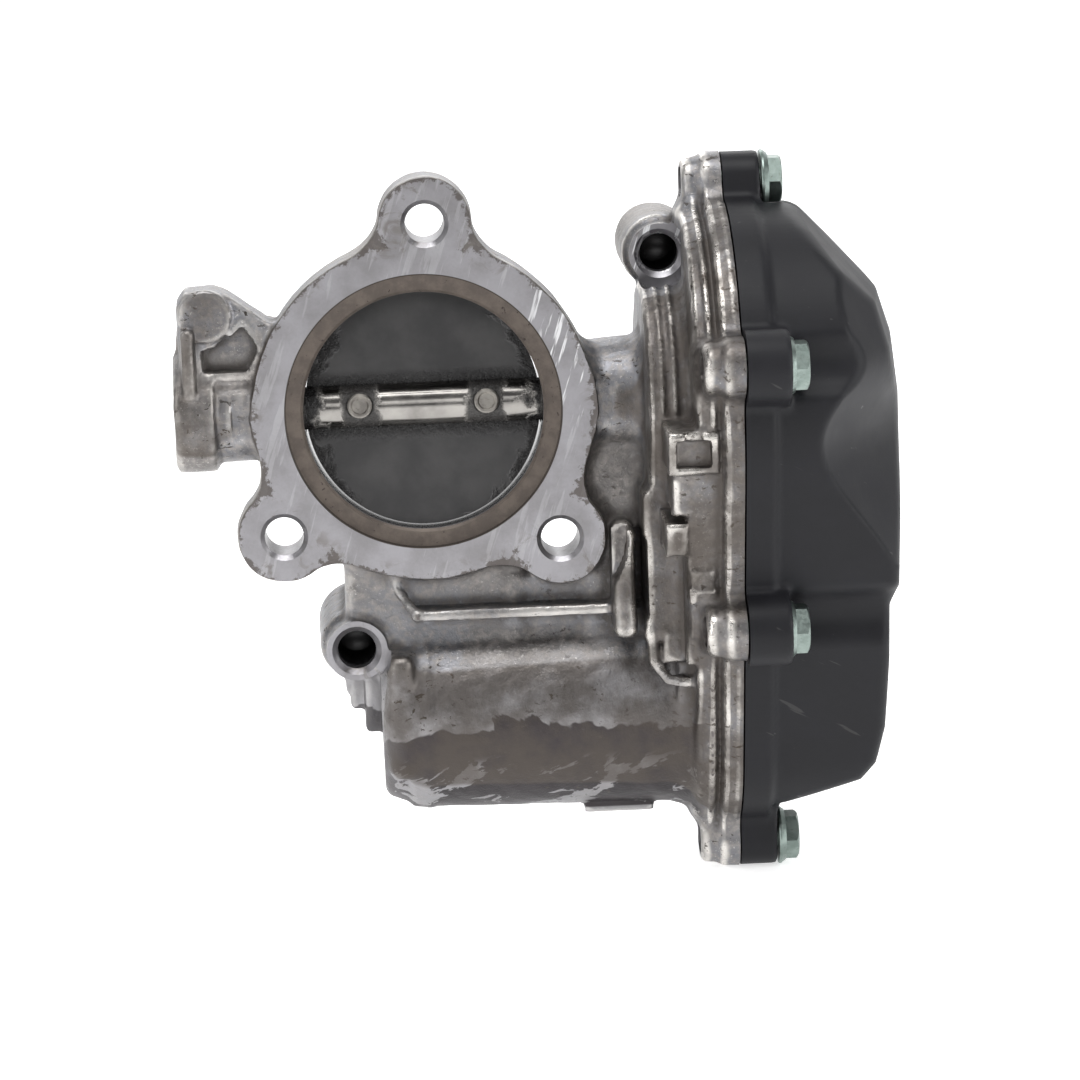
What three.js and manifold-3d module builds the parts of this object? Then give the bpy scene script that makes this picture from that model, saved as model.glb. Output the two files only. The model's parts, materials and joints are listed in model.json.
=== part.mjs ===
// Electronic throttle body: a cast housing with a round bore, a butterfly plate on a cross shaft,
// a two-stage gear train, a DC motor, and a moulded gear cover with position sensor and connector.
//
// Millimetres. X runs along the throttle shaft towards the gear cover, Y along the bore from the
// inlet flange to the rear mounting face, Z up. Shapes are drawn about the shaft axis and the
// finished group is then shifted so that its origin is the bore centre on the rear face.

import * as THREE from 'three';
import { mergeVertices } from 'three/addons/utils/BufferGeometryUtils.js';
import Module from 'manifold-3d';

const wasm = await Module();
wasm.setup();

// ---------------------------------------------------------------- driving dimensions

const GAP = 0.3;                    // clearance between neighbouring pieces
const BORE_R = 21.5;                // throttle bore
const BODY_WALL = 4.5;              // wall of the bore tube
const BODY_LENGTH = 33;             // inlet face to rear face
const INLET_Y = -9;                 // inlet face, measured from the shaft axis
const FLANGE = { band: 9.2, thick: 9.3 };
const RECESS = { band: 3.2, depth: 0.8 };
const BOLTS = { out: 12.3, angles: [87.5, 220, 314.5], hole: 3.5, lug: 8.4, chamfer: 0.7 };

const SHAFT_R = 4;
const BEARING = { wall: 2.4, length: 10 };
const SEAL_LENGTH = 4;
const PLUG_THICK = 2;
const PLATE = { thick: 1.8, tilt: 10, travel: 80 };   // degrees when closed, degrees to wide open
const PLATE_SCREW = { x: 11.4, head: 2.2, headHeight: 1.2, shank: 1.5 };

const SECTOR = { module: 1, teeth: 53, width: 8 };
const SMALL_GEAR = { module: 1, teeth: 15, width: 10.5 };
const LARGE_GEAR = { module: 0.8, teeth: 50, width: 5 };
const PINION = { module: 0.8, teeth: 12, width: 6.5 };
const BACKLASH = 0.3;
const GEAR_PIN_R = 2;

const MOTOR = { r: 14.5, length: 56.4, wall: 1.2, shaft: 1.6, offsetY: 6 };
const BARREL_WALL = 4.1;
const MOTOR_SCREW = { lift: 30, head: 2.7, shank: 1.2, length: 8.5 };

const TUB = { wall: 3.3, depth: 9 };                  // cast drum around the spring
const SPRING = { mean: 15.5, wire: 0.8, turns: 5 };
const STOP = { r: 3, armAngle: 130, armWidth: 5 };
const CASE_PLATE = 3;
const CASE_DEPTH = 3.5;             // gear case floor to the cover joint
const RIM = 5.5;                    // width of the sealing rim around the gear case
const GASKET = { inset: 1.9, width: 2, thick: 1.3 };
const COVER = { flange: 6.7, height: 31.5, wall: 2.6 };

const SCREW = { shank: 2.5, flange: 5.35, acrossFlats: 8, headHeight: 4.6, lug: 5.2, length: 12 };
const SIDE_BLOCK = { reach: 5, stand: 3, top: -1.5, bottom: -17 };    // case front over the drum
const BOARD = { thick: 1.6, y0: -13, y1: 13, z0: -25, z1: 12 };
const CONNECTOR = { z: -15, width: 15, height: 25, wall: 1.8, depth: 15 };
const TERMINAL = { count: 5, pitch: 4, thick: 0.8, width: 1.5 };

const TUBE = { bore: 3.5, depth: 15, wall: 2.1, draft: 0.4 };    // blind bored tubes, for screws
const SEAL_RING = { inset: 1.4, width: 2, depth: 1.6 };

// ---------------------------------------------------------------- sizes worked out from them

const degrees = THREE.MathUtils.degToRad;
const pitchR = (gear) => (gear.module * gear.teeth) / 2;
const tipR = (gear) => pitchR(gear) + gear.module;

const rearY = INLET_Y + BODY_LENGTH;
const flangeBackY = INLET_Y + FLANGE.thick;
const bodyR = BORE_R + BODY_WALL;
const bearingR = SHAFT_R + GAP + BEARING.wall;
const springPocket = SPRING.mean + SPRING.wire + 2.2;
const tubR = springPocket + 2.5;
const barrelR = MOTOR.r + GAP + BARREL_WALL;

// Stations along X, from the bore outwards.
const sealStart = bodyR - 1;
const sealEnd = sealStart + SEAL_LENGTH;
const bearingEnd = sealEnd + GAP + BEARING.length;
const shaftLeft = -(bearingEnd + 1);
const leftEnd = shaftLeft - 1.8 - PLUG_THICK - 0.4;
const tubStart = bearingEnd + 0.2;
const pocketFloor = tubStart + TUB.wall;
const plateStart = tubStart + TUB.depth;
const caseFloor = plateStart + CASE_PLATE;
const split = caseFloor + CASE_DEPTH;
const coverStart = split + GAP;
const flangeTop = coverStart + COVER.flange;
const domeTop = split + COVER.height;
const pinionStart = split + 1.5;
const largeStart = split + 2;
const smallStart = largeStart + LARGE_GEAR.width;
const smallEnd = smallStart + SMALL_GEAR.width;
const sectorStart = smallStart + 2;
const sectorEnd = sectorStart + SECTOR.width;
const boardX = sectorEnd + 5.5;
const canRight = caseFloor - 0.5;
const canLeft = canRight - MOTOR.length;
const barrelLeft = canLeft - 4.2;

// Axes along X, as points in the Y-Z plane. Angles run from +Y towards +Z.
const polar = (axis, distance, angle) => ({
  y: axis.y + distance * Math.cos(angle), z: axis.z + distance * Math.sin(angle),
});
const middleDistance = pitchR(SECTOR) + pitchR(SMALL_GEAR);
const motorDistance = middleDistance + pitchR(LARGE_GEAR) + pitchR(PINION);
const meshAngle = -Math.acos(MOTOR.offsetY / motorDistance);
const shaftAxis = { y: 0, z: 0 };
const middleAxis = polar(shaftAxis, middleDistance, meshAngle);
const motorAxis = polar(shaftAxis, motorDistance, meshAngle);

const caseR = { shaft: tipR(SECTOR) + 2.5, middle: tipR(LARGE_GEAR) + 1.7, motor: MOTOR.r + 3.5 };
const caseCircles = [
  [shaftAxis.y, shaftAxis.z, caseR.shaft],
  [middleAxis.y, middleAxis.z, caseR.middle],
  [motorAxis.y, motorAxis.z, caseR.motor],
];
const motorScrews = [MOTOR_SCREW.lift, 180 - MOTOR_SCREW.lift].map((angle) => polar(motorAxis,
  MOTOR.r + MOTOR_SCREW.shank + 2 * GAP + 1.1, degrees(angle)));

const rightTube = { x: tubStart + 4.3, z: tubR + 4, front: 4 };
const lowerTube = { x: barrelLeft - 4.2, z: motorAxis.z + 14.3, front: -5 };
const rearBoss = { x: -(bodyR + 12.5), z: 12, front: 0.5 };
const blankPad = { x: -(bodyR + 12.2), z: 18.6, r: 4.8, front: -8.6 };
const connector = {
  x: boardX - TERMINAL.thick / 2 - 1.6, floorY: caseR.shaft + 3, mouthY: caseR.shaft + 3 + CONNECTOR.depth,
};
const terminalRows = Array.from({ length: TERMINAL.count }, (_, k) => (
  CONNECTOR.z + (k - (TERMINAL.count - 1) / 2) * TERMINAL.pitch));

// ---------------------------------------------------------------- shape helpers

function solid(geometry) {
  geometry.deleteAttribute('normal');
  geometry.deleteAttribute('uv');
  const merged = mergeVertices(geometry, 1e-4);
  return new wasm.Manifold(new wasm.Mesh({
    numProp: 3,
    vertProperties: new Float32Array(merged.attributes.position.array),
    triVerts: new Uint32Array(merged.index.array),
  }));
}

function toGeometry(shape) {
  const mesh = shape.getMesh();
  const geometry = new THREE.BufferGeometry();
  geometry.setAttribute('position', new THREE.BufferAttribute(mesh.vertProperties, 3));
  geometry.setIndex(new THREE.BufferAttribute(mesh.triVerts, 1));
  geometry.computeVertexNormals();
  return geometry;
}

const join = (...shapes) => shapes.reduce((whole, shape) => whole.add(shape));
const cut = (shape, ...tools) => tools.reduce((rest, tool) => rest.subtract(tool), shape);

// Cylinder or cone along X, centred on an axis.
function roundX(axis, x0, x1, r, endR = r, segments = 20) {
  const geometry = new THREE.CylinderGeometry(endR, r, x1 - x0, segments);
  geometry.rotateZ(-Math.PI / 2);
  return solid(geometry.translate((x0 + x1) / 2, axis.y, axis.z));
}

// Cylinder or cone along Y, centred on a place in X and Z.
function roundY(place, y0, y1, r, endR = r, segments = 20) {
  const geometry = new THREE.CylinderGeometry(endR, r, y1 - y0, segments);
  return solid(geometry.translate(place.x, (y0 + y1) / 2, place.z));
}

function box(x0, x1, y0, y1, z0, z1) {
  const geometry = new THREE.BoxGeometry(x1 - x0, y1 - y0, z1 - z0);
  return solid(geometry.translate((x0 + x1) / 2, (y0 + y1) / 2, (z0 + z1) / 2));
}

function ringX(axis, x0, x1, inner, outer, segments = 24) {
  return cut(roundX(axis, x0, x1, outer, outer, segments),
    roundX(axis, x0 - 1, x1 + 1, inner, inner, segments));
}

const turn = (a, b, c) => (b[0] - a[0]) * (c[1] - a[1]) - (b[1] - a[1]) * (c[0] - a[0]);

// Convex outline around a list of circles [u, v, radius], each grown by the same amount.
function hull(circles, grow = 0, samples = 28) {
  const points = [];
  for (const [u, v, r] of circles) {
    for (let i = 0; i < samples; i += 1) {
      const angle = (2 * Math.PI * i) / samples;
      points.push([u + (r + grow) * Math.cos(angle), v + (r + grow) * Math.sin(angle)]);
    }
  }
  points.sort((a, b) => a[0] - b[0] || a[1] - b[1]);
  const half = (list) => {
    const chain = [];
    for (const p of list) {
      while (chain.length > 1 && turn(chain.at(-2), chain.at(-1), p) <= 1e-9) chain.pop();
      chain.push(p);
    }
    return chain.slice(0, -1);
  };
  return [...half(points), ...half(points.reverse())];
}

function extrude(outline, depth) {
  const shape = new THREE.Shape(outline.map(([u, v]) => new THREE.Vector2(u, v)));
  return new THREE.ExtrudeGeometry(shape, { depth, bevelEnabled: false });
}

// Outline drawn in (y, z), extruded along X.
function extrudeX(outline, x0, x1) {
  const turned = new THREE.Matrix4().makeBasis(
    new THREE.Vector3(0, 1, 0), new THREE.Vector3(0, 0, 1), new THREE.Vector3(1, 0, 0));
  return solid(extrude(outline, x1 - x0).applyMatrix4(turned).translate(x0, 0, 0));
}

// Outline drawn in (x, z), extruded along Y.
function extrudeY(outline, y0, y1) {
  const turned = new THREE.Matrix4().makeBasis(
    new THREE.Vector3(1, 0, 0), new THREE.Vector3(0, 0, 1), new THREE.Vector3(0, -1, 0));
  return solid(extrude(outline, y1 - y0).applyMatrix4(turned).translate(0, y1, 0));
}

// Outline drawn in (x, y), extruded along Z.
function extrudeZ(outline, z0, z1) {
  return solid(extrude(outline, z1 - z0).translate(0, 0, z0));
}

// Filled slice of a disc between two angles.
function slice(axis, r, from, to) {
  const outline = [[axis.y, axis.z]];
  const steps = Math.ceil((to - from) / degrees(8));
  for (let i = 0; i <= steps; i += 1) {
    const point = polar(axis, r, from + ((to - from) * i) / steps);
    outline.push([point.y, point.z]);
  }
  return outline;
}

// Spur gear outline with involute flanks and a tooth centred on the angle phase.
function gearOutline(gear, axis, phase, addendum = 1) {
  const middleR = pitchR(gear);
  const baseR = middleR * Math.cos(degrees(20));
  const rootR = middleR - 1.25 * gear.module;
  const pitch = (2 * Math.PI) / gear.teeth;
  const spread = (r) => {
    const roll = Math.sqrt(Math.max(0, (r / baseR) ** 2 - 1));
    return roll - Math.atan(roll);
  };
  const halfTooth = pitch / 4 - BACKLASH / 2 / middleR;
  const flank = (r) => halfTooth + spread(middleR) - spread(r);
  const radii = [rootR, baseR, middleR, middleR + addendum * gear.module]
    .filter((r) => r === rootR || r > rootR + 0.1);
  const outline = [];
  for (let k = 0; k < gear.teeth; k += 1) {
    const centre = phase + k * pitch;
    for (const r of radii) outline.push(polar(axis, r, centre - flank(r)));
    for (const r of [...radii].reverse()) outline.push(polar(axis, r, centre + flank(r)));
  }
  return outline.map(({ y, z }) => [y, z]);
}

// ---------------------------------------------------------------- gear case outlines

// How far from a point inside a convex outline a ray leaves the outline grown by some clearance.
function reach(outline, from, angle, clearance) {
  const [rayY, rayZ] = [Math.cos(angle), Math.sin(angle)];
  let nearest = Infinity;
  outline.forEach(([y, z], i) => {
    const [nextY, nextZ] = outline[(i + 1) % outline.length];
    const length = Math.hypot(nextY - y, nextZ - z);
    const [normalY, normalZ] = [(nextZ - z) / length, (y - nextY) / length];
    const facing = normalY * rayY + normalZ * rayZ;
    const offset = clearance + normalY * (y - from.y) + normalZ * (z - from.z);
    if (facing > 1e-6) nearest = Math.min(nearest, offset / facing);
  });
  return nearest;
}

// Cover screws: each stands outside the gasket, on a ray from one of the axes.
const screwOut = GASKET.inset + GASKET.width + SCREW.shank + 2 * GAP + 1;
const coverScrews = [
  [shaftAxis, 84], [shaftAxis, 164], [middleAxis, 188], [motorAxis, 255], [motorAxis, -35],
  [middleAxis, -4], [shaftAxis, 38],
].map(([axis, angle]) => {
  const distance = reach(hull(caseCircles, 0, 72), axis, degrees(angle), screwOut);
  return { ...polar(axis, distance, degrees(angle)), axis };
});

// Rim with a lug at each cover screw, between two X planes.
function rimWithLugs(x0, x1) {
  const lugs = coverScrews.map(({ y, z, axis }) => extrudeX(hull([
    [y, z, SCREW.lug],
    [y + (axis.y - y) * 0.2, z + (axis.z - z) * 0.2, SCREW.lug + 1],
  ], 0, 20), x0, x1));
  return join(extrudeX(hull(caseCircles, RIM), x0, x1), ...lugs);
}

// Dome of the cover: the common part of its three outlines, each moved in by the same amount.
function dome(inset) {
  const [base, shoulder] = [split - 5, flangeTop];
  const side = [
    [base, caseR.shaft, 5], [shoulder, caseR.shaft, 5], [domeTop - 5.5, 8, 5.5],
    [domeTop - 5.5, middleAxis.z + 1, 5.5], [domeTop - 10.5, motorAxis.z - 6, 8],
    [shoulder, motorAxis.z - caseR.motor + 4.5, 7], [base, motorAxis.z - caseR.motor + 4.5, 7],
  ];
  const top = [
    [base, 3.4 - caseR.shaft, 6], [base, caseR.shaft - 3.4, 6],
    [sectorEnd, 4.4 - caseR.shaft, 6], [sectorEnd, caseR.shaft - 4.4, 6],
    [domeTop - 5.9, -13, 6], [domeTop - 5.9, 18, 6],
  ];
  return extrudeX(hull(caseCircles, COVER.wall - inset), coverStart, domeTop + 1)
    .intersect(extrudeY(hull(side, -inset, 20), -2 * caseR.shaft, 2 * caseR.shaft))
    .intersect(extrudeZ(hull(top, -inset, 20), 2 * motorAxis.z, 2 * caseR.shaft));
}

// ---------------------------------------------------------------- housing

const boltPlace = (angle, r = BORE_R + BOLTS.out) => ({
  x: r * Math.cos(degrees(angle)), z: r * Math.sin(degrees(angle)),
});

function inletFlange() {
  const lugs = BOLTS.angles.map((angle) => {
    const tip = boltPlace(angle);
    const root = boltPlace(angle, BORE_R - 1.5);
    return extrudeY(hull([[tip.x, tip.z, BOLTS.lug], [root.x, root.z, BOLTS.lug + 5]], 0, 32),
      INLET_Y, flangeBackY);
  });
  const centre = { x: 0, z: 0 };
  const r = BORE_R + FLANGE.band;
  return join(roundY(centre, INLET_Y, flangeBackY, r, r, 40), ...lugs);
}

function boltHole(angle) {
  const place = boltPlace(angle);
  const mouth = BOLTS.hole + BOLTS.chamfer;
  return join(roundY(place, INLET_Y - 1, flangeBackY + 1, BOLTS.hole),
    roundY(place, INLET_Y - 1, INLET_Y + BOLTS.chamfer, mouth + 1, BOLTS.hole));
}

// Undrilled lug beside the left bearing, with a round pad and a shallow pocket.
function blankLug() {
  const { x, z, r, front } = blankPad;
  const inner = -bodyR + 4;
  const plate = extrudeY([[x - 4.6, 6], [inner, 6], [inner, 14], [x + 2, z + r], [x - 3, z + r],
    [x - 4.6, z + 3]], front + 1, flangeBackY);
  const pocket = extrudeY([[x - 1, 9.5], [inner - 6, 9.5], [inner - 4.5, 13.5], [x + 5, z],
    [x + 3, z - 4], [x - 1, z - 6]], front, front + 3.5);
  return join(cut(plate, pocket), roundY(blankPad, front, front + 4, r));
}

// Tube or boss for a screw, a little wider at the rear face.
const boltTube = (place) => roundY(place, place.front, rearY, TUBE.bore + TUBE.wall + TUBE.draft,
  TUBE.bore + TUBE.wall);

// The front of the gear case reaches back over the drum, beside the bore.
function sideBlock() {
  const { reach: back, stand, top, bottom } = SIDE_BLOCK;
  return extrudeX(hull(caseCircles, stand), plateStart - back, plateStart + 1)
    .intersect(box(plateStart - back - 1, plateStart + 2, -2 * caseR.shaft, -tubR / 2, bottom, top));
}

function castBody() {
  const spread = hull([[shaftAxis.y, shaftAxis.z, tubR - 2], [middleAxis.y, middleAxis.z, 16],
    [motorAxis.y, motorAxis.z, barrelR]]);
  const centre = { x: 0, z: 0 };
  const neckR = bearingR + 3.5;
  return join(
    inletFlange(),
    roundY(centre, flangeBackY - 1, rearY, bodyR, bodyR, 40),
    blankLug(),
    roundX(shaftAxis, leftEnd + 5, -bodyR + 6, bearingR + 2.1),
    roundX(shaftAxis, leftEnd, leftEnd + 7, bearingR + 4),
    roundX(shaftAxis, bodyR - 6, tubStart + 1, neckR),
    roundX(shaftAxis, tubStart, tubStart + 1.5, tubR - 1.5, tubR, 32),
    roundX(shaftAxis, tubStart + 1.5, plateStart - 4, tubR, tubR, 32),
    roundX(shaftAxis, plateStart - 4, plateStart + 1, tubR, caseR.shaft, 32),
    extrudeX(spread, plateStart - 5, plateStart + 1),
    sideBlock(),
    rimWithLugs(plateStart, split),
    roundX(motorAxis, barrelLeft, barrelLeft + 4.5, barrelR - 4, barrelR - 1.3, 32),
    roundX(motorAxis, barrelLeft + 4, plateStart + 1, barrelR - 1.4, barrelR, 32),
    ...[lowerTube, rightTube, rearBoss].map(boltTube),
    ...webs(),
  );
}

// Webs and ribs that tie the bore, the motor barrel and the bolt tubes together.
function webs() {
  const barrelTop = motorAxis.z + barrelR;
  const barrelFront = motorAxis.y - barrelR;
  return [
    box(-bodyR / 2, BORE_R - 3, INLET_Y + 6, rearY - 3, barrelTop - 4, -bodyR + 10),
    box(barrelLeft + 1, tubStart - 5.5, barrelFront + 3.5, motorAxis.y - 2, barrelTop - 2, barrelTop + 2),
    box(tubStart - 6, tubStart - 2, barrelFront, barrelFront + 15, barrelTop - 4, 0.5 - tubR),
    box(bodyR + 2.5, tubStart + 1, flangeBackY - 4, rearY - 5, barrelTop - 4, 2.5 - bearingR),
    box(BORE_R - 4, tubStart + 1, flangeBackY - 4, rearY - 5, barrelTop - 4, -bodyR - 8),
    box(tubStart - 7, plateStart, barrelFront + 9, motorAxis.y + 4, barrelTop - 4, 9 - tubR),
    box(lowerTube.x - 3, barrelLeft + 4, lowerTube.front + 9, rearY - 1, motorAxis.z + 4, lowerTube.z + 3),
    box(rightTube.x, plateStart + 1, rightTube.front + 3, rearY - 1, tubR - 5, rightTube.z + 4.5),
    extrudeY(hull([[rearBoss.x, rearBoss.z, 4], [-BORE_R + 1, 4, 8]]), rearY - 9, rearY),
  ];
}

function housing() {
  const centre = { x: 0, z: 0 };
  const recessR = BORE_R + RECESS.band;
  const grooveR = BORE_R + SEAL_RING.inset;
  const boreHole = BEARING.wall + SHAFT_R + 2 * GAP;
  return cut(castBody(),
    roundY(centre, INLET_Y - 1, rearY + 1, BORE_R, BORE_R, 48),
    roundY(centre, INLET_Y - 1, INLET_Y + RECESS.depth, recessR, recessR, 40),
    ...BOLTS.angles.map(boltHole),
    cut(roundY(centre, rearY - SEAL_RING.depth, rearY + 1, grooveR + SEAL_RING.width,
      grooveR + SEAL_RING.width, 40), roundY(centre, rearY - 5, rearY + 2, grooveR, grooveR, 40)),
    ...[lowerTube, rightTube].map((tube) => roundY(tube, tube.front - 1, tube.front + TUBE.depth,
      TUBE.bore)),
    roundY(rearBoss, rearBoss.front + 6, rearY + 1, SCREW.shank),
    roundX(shaftAxis, -sealStart - 1, sealStart + 1, SHAFT_R + GAP),
    roundX(shaftAxis, leftEnd - 1, -sealStart, boreHole),
    roundX(shaftAxis, sealStart, caseFloor, boreHole),
    roundX(shaftAxis, pocketFloor, caseFloor + 1, springPocket, springPocket, 32),
    cut(extrudeX(hull(caseCircles), caseFloor, split + 1),
      roundX(middleAxis, caseFloor - 1, caseFloor + 3, GEAR_PIN_R + 2.6, GEAR_PIN_R + 2.2, 16)),
    gasketGroove(),
    ...coverScrews.map((screw) => roundX(screw, plateStart - 4, split + 1, SCREW.shank + GAP,
      SCREW.shank + GAP, 12)),
    roundX(motorAxis, barrelLeft + 2, caseFloor + 1, MOTOR.r + GAP, MOTOR.r + GAP, 32),
    ...motorScrews.map((place) => roundX(place, caseFloor - MOTOR_SCREW.length, caseFloor + 1,
      MOTOR_SCREW.shank + GAP, MOTOR_SCREW.shank + GAP, 10)),
    roundX(middleAxis, plateStart - 4, caseFloor + 4, GEAR_PIN_R + GAP, GEAR_PIN_R + GAP, 12),
  ).add(stopPosts());
}

function gasketGroove() {
  const floor = split - GASKET.thick - GAP;
  return cut(extrudeX(hull(caseCircles, GASKET.inset + GASKET.width + GAP), floor, split + 1),
    extrudeX(hull(caseCircles, GASKET.inset - GAP), floor - 1, split + 2));
}

// Two cast posts that the stop arm of the throttle gear meets when closed and when wide open.
function stopPosts() {
  const orbit = springPocket + STOP.r + 1.5;
  const reach = Math.atan(STOP.armWidth / 2 / orbit) + Math.asin(STOP.r / orbit) + GAP / orbit;
  const closed = polar(shaftAxis, orbit, degrees(STOP.armAngle) + reach);
  const open = polar(shaftAxis, orbit, degrees(STOP.armAngle - PLATE.travel) - reach);
  return join(...[closed, open].map((place) => roundX(place, caseFloor - 2, sectorEnd - 2, STOP.r,
    STOP.r, 16)));
}

// ---------------------------------------------------------------- throttle shaft and plate

// Turns a piece that is drawn square to the plate onto the tilted plate.
const onPlate = (geometry, x = 0) => solid(geometry.rotateX(degrees(-PLATE.tilt)).translate(x, 0, 0));

const plateCylinder = (r, y0, y1, x, segments = 16) => onPlate(
  new THREE.CylinderGeometry(r, r, y1 - y0, segments).translate(0, (y0 + y1) / 2, 0), x);

function plateScrewHoles() {
  return [-PLATE_SCREW.x, PLATE_SCREW.x].map((x) => plateCylinder(PLATE_SCREW.shank + GAP, -9, 9, x));
}

function throttleShaft() {
  const slot = new THREE.BoxGeometry(2 * (BORE_R + GAP), PLATE.thick + 2 * GAP, 4 * SHAFT_R);
  const seat = 0.5 - SHAFT_R;
  const seats = [-PLATE_SCREW.x, PLATE_SCREW.x].map((x) => plateCylinder(PLATE_SCREW.head + GAP,
    seat - 3, seat, x, 20));
  return cut(roundX(shaftAxis, shaftLeft, sectorEnd + 1, SHAFT_R, SHAFT_R, 24), onPlate(slot),
    ...plateScrewHoles(), ...seats);
}

function throttlePlate() {
  const slab = onPlate(new THREE.BoxGeometry(3 * BORE_R, PLATE.thick, 3 * BORE_R));
  const disc = roundY({ x: 0, z: 0 }, -BORE_R, BORE_R, BORE_R - GAP, BORE_R - GAP, 60);
  return cut(slab.intersect(disc), ...plateScrewHoles());
}

function plateScrew(x) {
  const seat = 0.5 - SHAFT_R - GAP;
  return join(plateCylinder(PLATE_SCREW.head, seat - PLATE_SCREW.headHeight, seat, x, 20),
    plateCylinder(PLATE_SCREW.shank, seat - 0.5, SHAFT_R - 1, x));
}

// ---------------------------------------------------------------- gears and spring

function throttleGear() {
  const margin = (3 * Math.PI) / SECTOR.teeth;
  const from = meshAngle - margin;
  const to = meshAngle + degrees(PLATE.travel) + margin;
  const toothed = extrudeX(gearOutline(SECTOR, shaftAxis, meshAngle), sectorStart, sectorEnd)
    .intersect(extrudeX(slice(shaftAxis, tipR(SECTOR) + 3, from, to), sectorStart, sectorEnd));
  const rim = cut(toothed, roundX(shaftAxis, sectorStart - 1, sectorEnd + 1, pitchR(SECTOR) - 5,
    pitchR(SECTOR) - 5, 32));
  const web = extrudeX(slice(shaftAxis, pitchR(SECTOR) - 4, from, to), sectorStart + 2, sectorEnd - 2);
  const armLength = springPocket + 2 * STOP.r;
  const arm = new THREE.BoxGeometry(4, armLength, STOP.armWidth);
  arm.translate(sectorStart + 2, armLength / 2, 0).rotateX(degrees(STOP.armAngle));
  return cut(
    join(rim, web, solid(arm), roundX(shaftAxis, pocketFloor + 2, sectorEnd, SHAFT_R + 3.5),
      roundX(shaftAxis, sectorStart - 1, sectorEnd, SHAFT_R + 6.5)),
    roundX(shaftAxis, pocketFloor, sectorEnd + 1, SHAFT_R + GAP));
}

function intermediateGear() {
  const smallPhase = meshAngle + Math.PI + Math.PI / SMALL_GEAR.teeth;
  const large = extrudeX(gearOutline(LARGE_GEAR, middleAxis, meshAngle, 0.85), largeStart, smallStart);
  const small = extrudeX(gearOutline(SMALL_GEAR, middleAxis, smallPhase, 0.9), smallStart - 1, smallEnd);
  const hollow = ringX(middleAxis, largeStart - 1, largeStart + 1.5, GEAR_PIN_R + 4.5,
    pitchR(LARGE_GEAR) - 3);
  const hub = roundX(middleAxis, caseFloor + 3 + GAP, largeStart + 1, GEAR_PIN_R + 2);
  return cut(join(cut(large, hollow), small, hub),
    roundX(middleAxis, caseFloor, smallEnd + 1, GEAR_PIN_R + GAP, GEAR_PIN_R + GAP, 12));
}

function motorPinion() {
  const phase = meshAngle + Math.PI + Math.PI / PINION.teeth;
  const end = pinionStart + PINION.width;
  const hole = MOTOR.shaft + GAP;
  return cut(extrudeX(gearOutline(PINION, motorAxis, phase, 0.9), pinionStart, end),
    roundX(motorAxis, pinionStart - 1, end + 1, hole, hole, 12));
}

// Torsion spring: a close coil around the shaft, then a leg along X to the stop arm.
function returnSpring() {
  const perTurn = 12;
  const count = SPRING.turns * perTurn;
  const [start, stop] = [pocketFloor + 1.8, largeStart - 1.6];
  const end = degrees(STOP.armAngle);
  const points = [];
  for (let i = 0; i <= count; i += 1) {
    const place = polar(shaftAxis, SPRING.mean, end - (2 * Math.PI * (count - i)) / perTurn);
    points.push(new THREE.Vector3(start + ((stop - start) * i) / count, place.y, place.z));
  }
  const leg = polar(shaftAxis, SPRING.mean, end + degrees(6));
  points.push(new THREE.Vector3(stop + 1.6, leg.y, leg.z));
  points.push(new THREE.Vector3(sectorStart - GAP, leg.y, leg.z));
  const section = new THREE.Shape();
  section.absarc(0, 0, SPRING.wire, 0, 2 * Math.PI);
  return solid(new THREE.ExtrudeGeometry(section, {
    steps: count + 10, curveSegments: 3, bevelEnabled: false,
    extrudePath: new THREE.CatmullRomCurve3(points, false, 'centripetal'),
  }));
}

// ---------------------------------------------------------------- motor

const [fieldStart, fieldEnd] = [canLeft + 6, canRight - 14];
const shaftHole = MOTOR.shaft + GAP;

function motorCan() {
  const inner = MOTOR.r - MOTOR.wall;
  return cut(roundX(motorAxis, canLeft, canRight, MOTOR.r, MOTOR.r, 32),
    roundX(motorAxis, canLeft + 1.4, canRight + 1, inner, inner, 32),
    roundX(motorAxis, canLeft - 1, canLeft + 2, shaftHole, shaftHole, 12));
}

function motorMagnet(centre) {
  const half = degrees(62);
  const ring = ringX(motorAxis, fieldStart, fieldEnd, MOTOR.r - 4.2, MOTOR.r - MOTOR.wall - GAP);
  return ring.intersect(extrudeX(slice(motorAxis, 3 * MOTOR.r, centre - half, centre + half),
    canLeft, canRight));
}

function armatureCore() {
  const r = MOTOR.r - 4.9;
  const slots = Array.from({ length: 5 }, (_, k) => {
    const slot = new THREE.BoxGeometry(2 * MOTOR.length, 6, 1.6).translate(0, r - 1.5, 0);
    slot.rotateX((2 * Math.PI * k) / 5).translate(0, motorAxis.y, motorAxis.z);
    return solid(slot);
  });
  return cut(roundX(motorAxis, fieldStart + 3, fieldEnd - 3, r, r, 30), ...slots,
    roundX(motorAxis, canLeft, canRight, shaftHole, shaftHole, 12));
}

const commutatorR = 4;

function motorBrush(side) {
  const [near, far] = [commutatorR + GAP, commutatorR + GAP + 6];
  const [y0, y1] = side > 0 ? [near, far] : [-far, -near];
  return box(canRight - 10, canRight - 5.5, motorAxis.y + y0, motorAxis.y + y1,
    motorAxis.z - 2, motorAxis.z + 2);
}

const bracketTop = caseFloor + 2.3;

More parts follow.
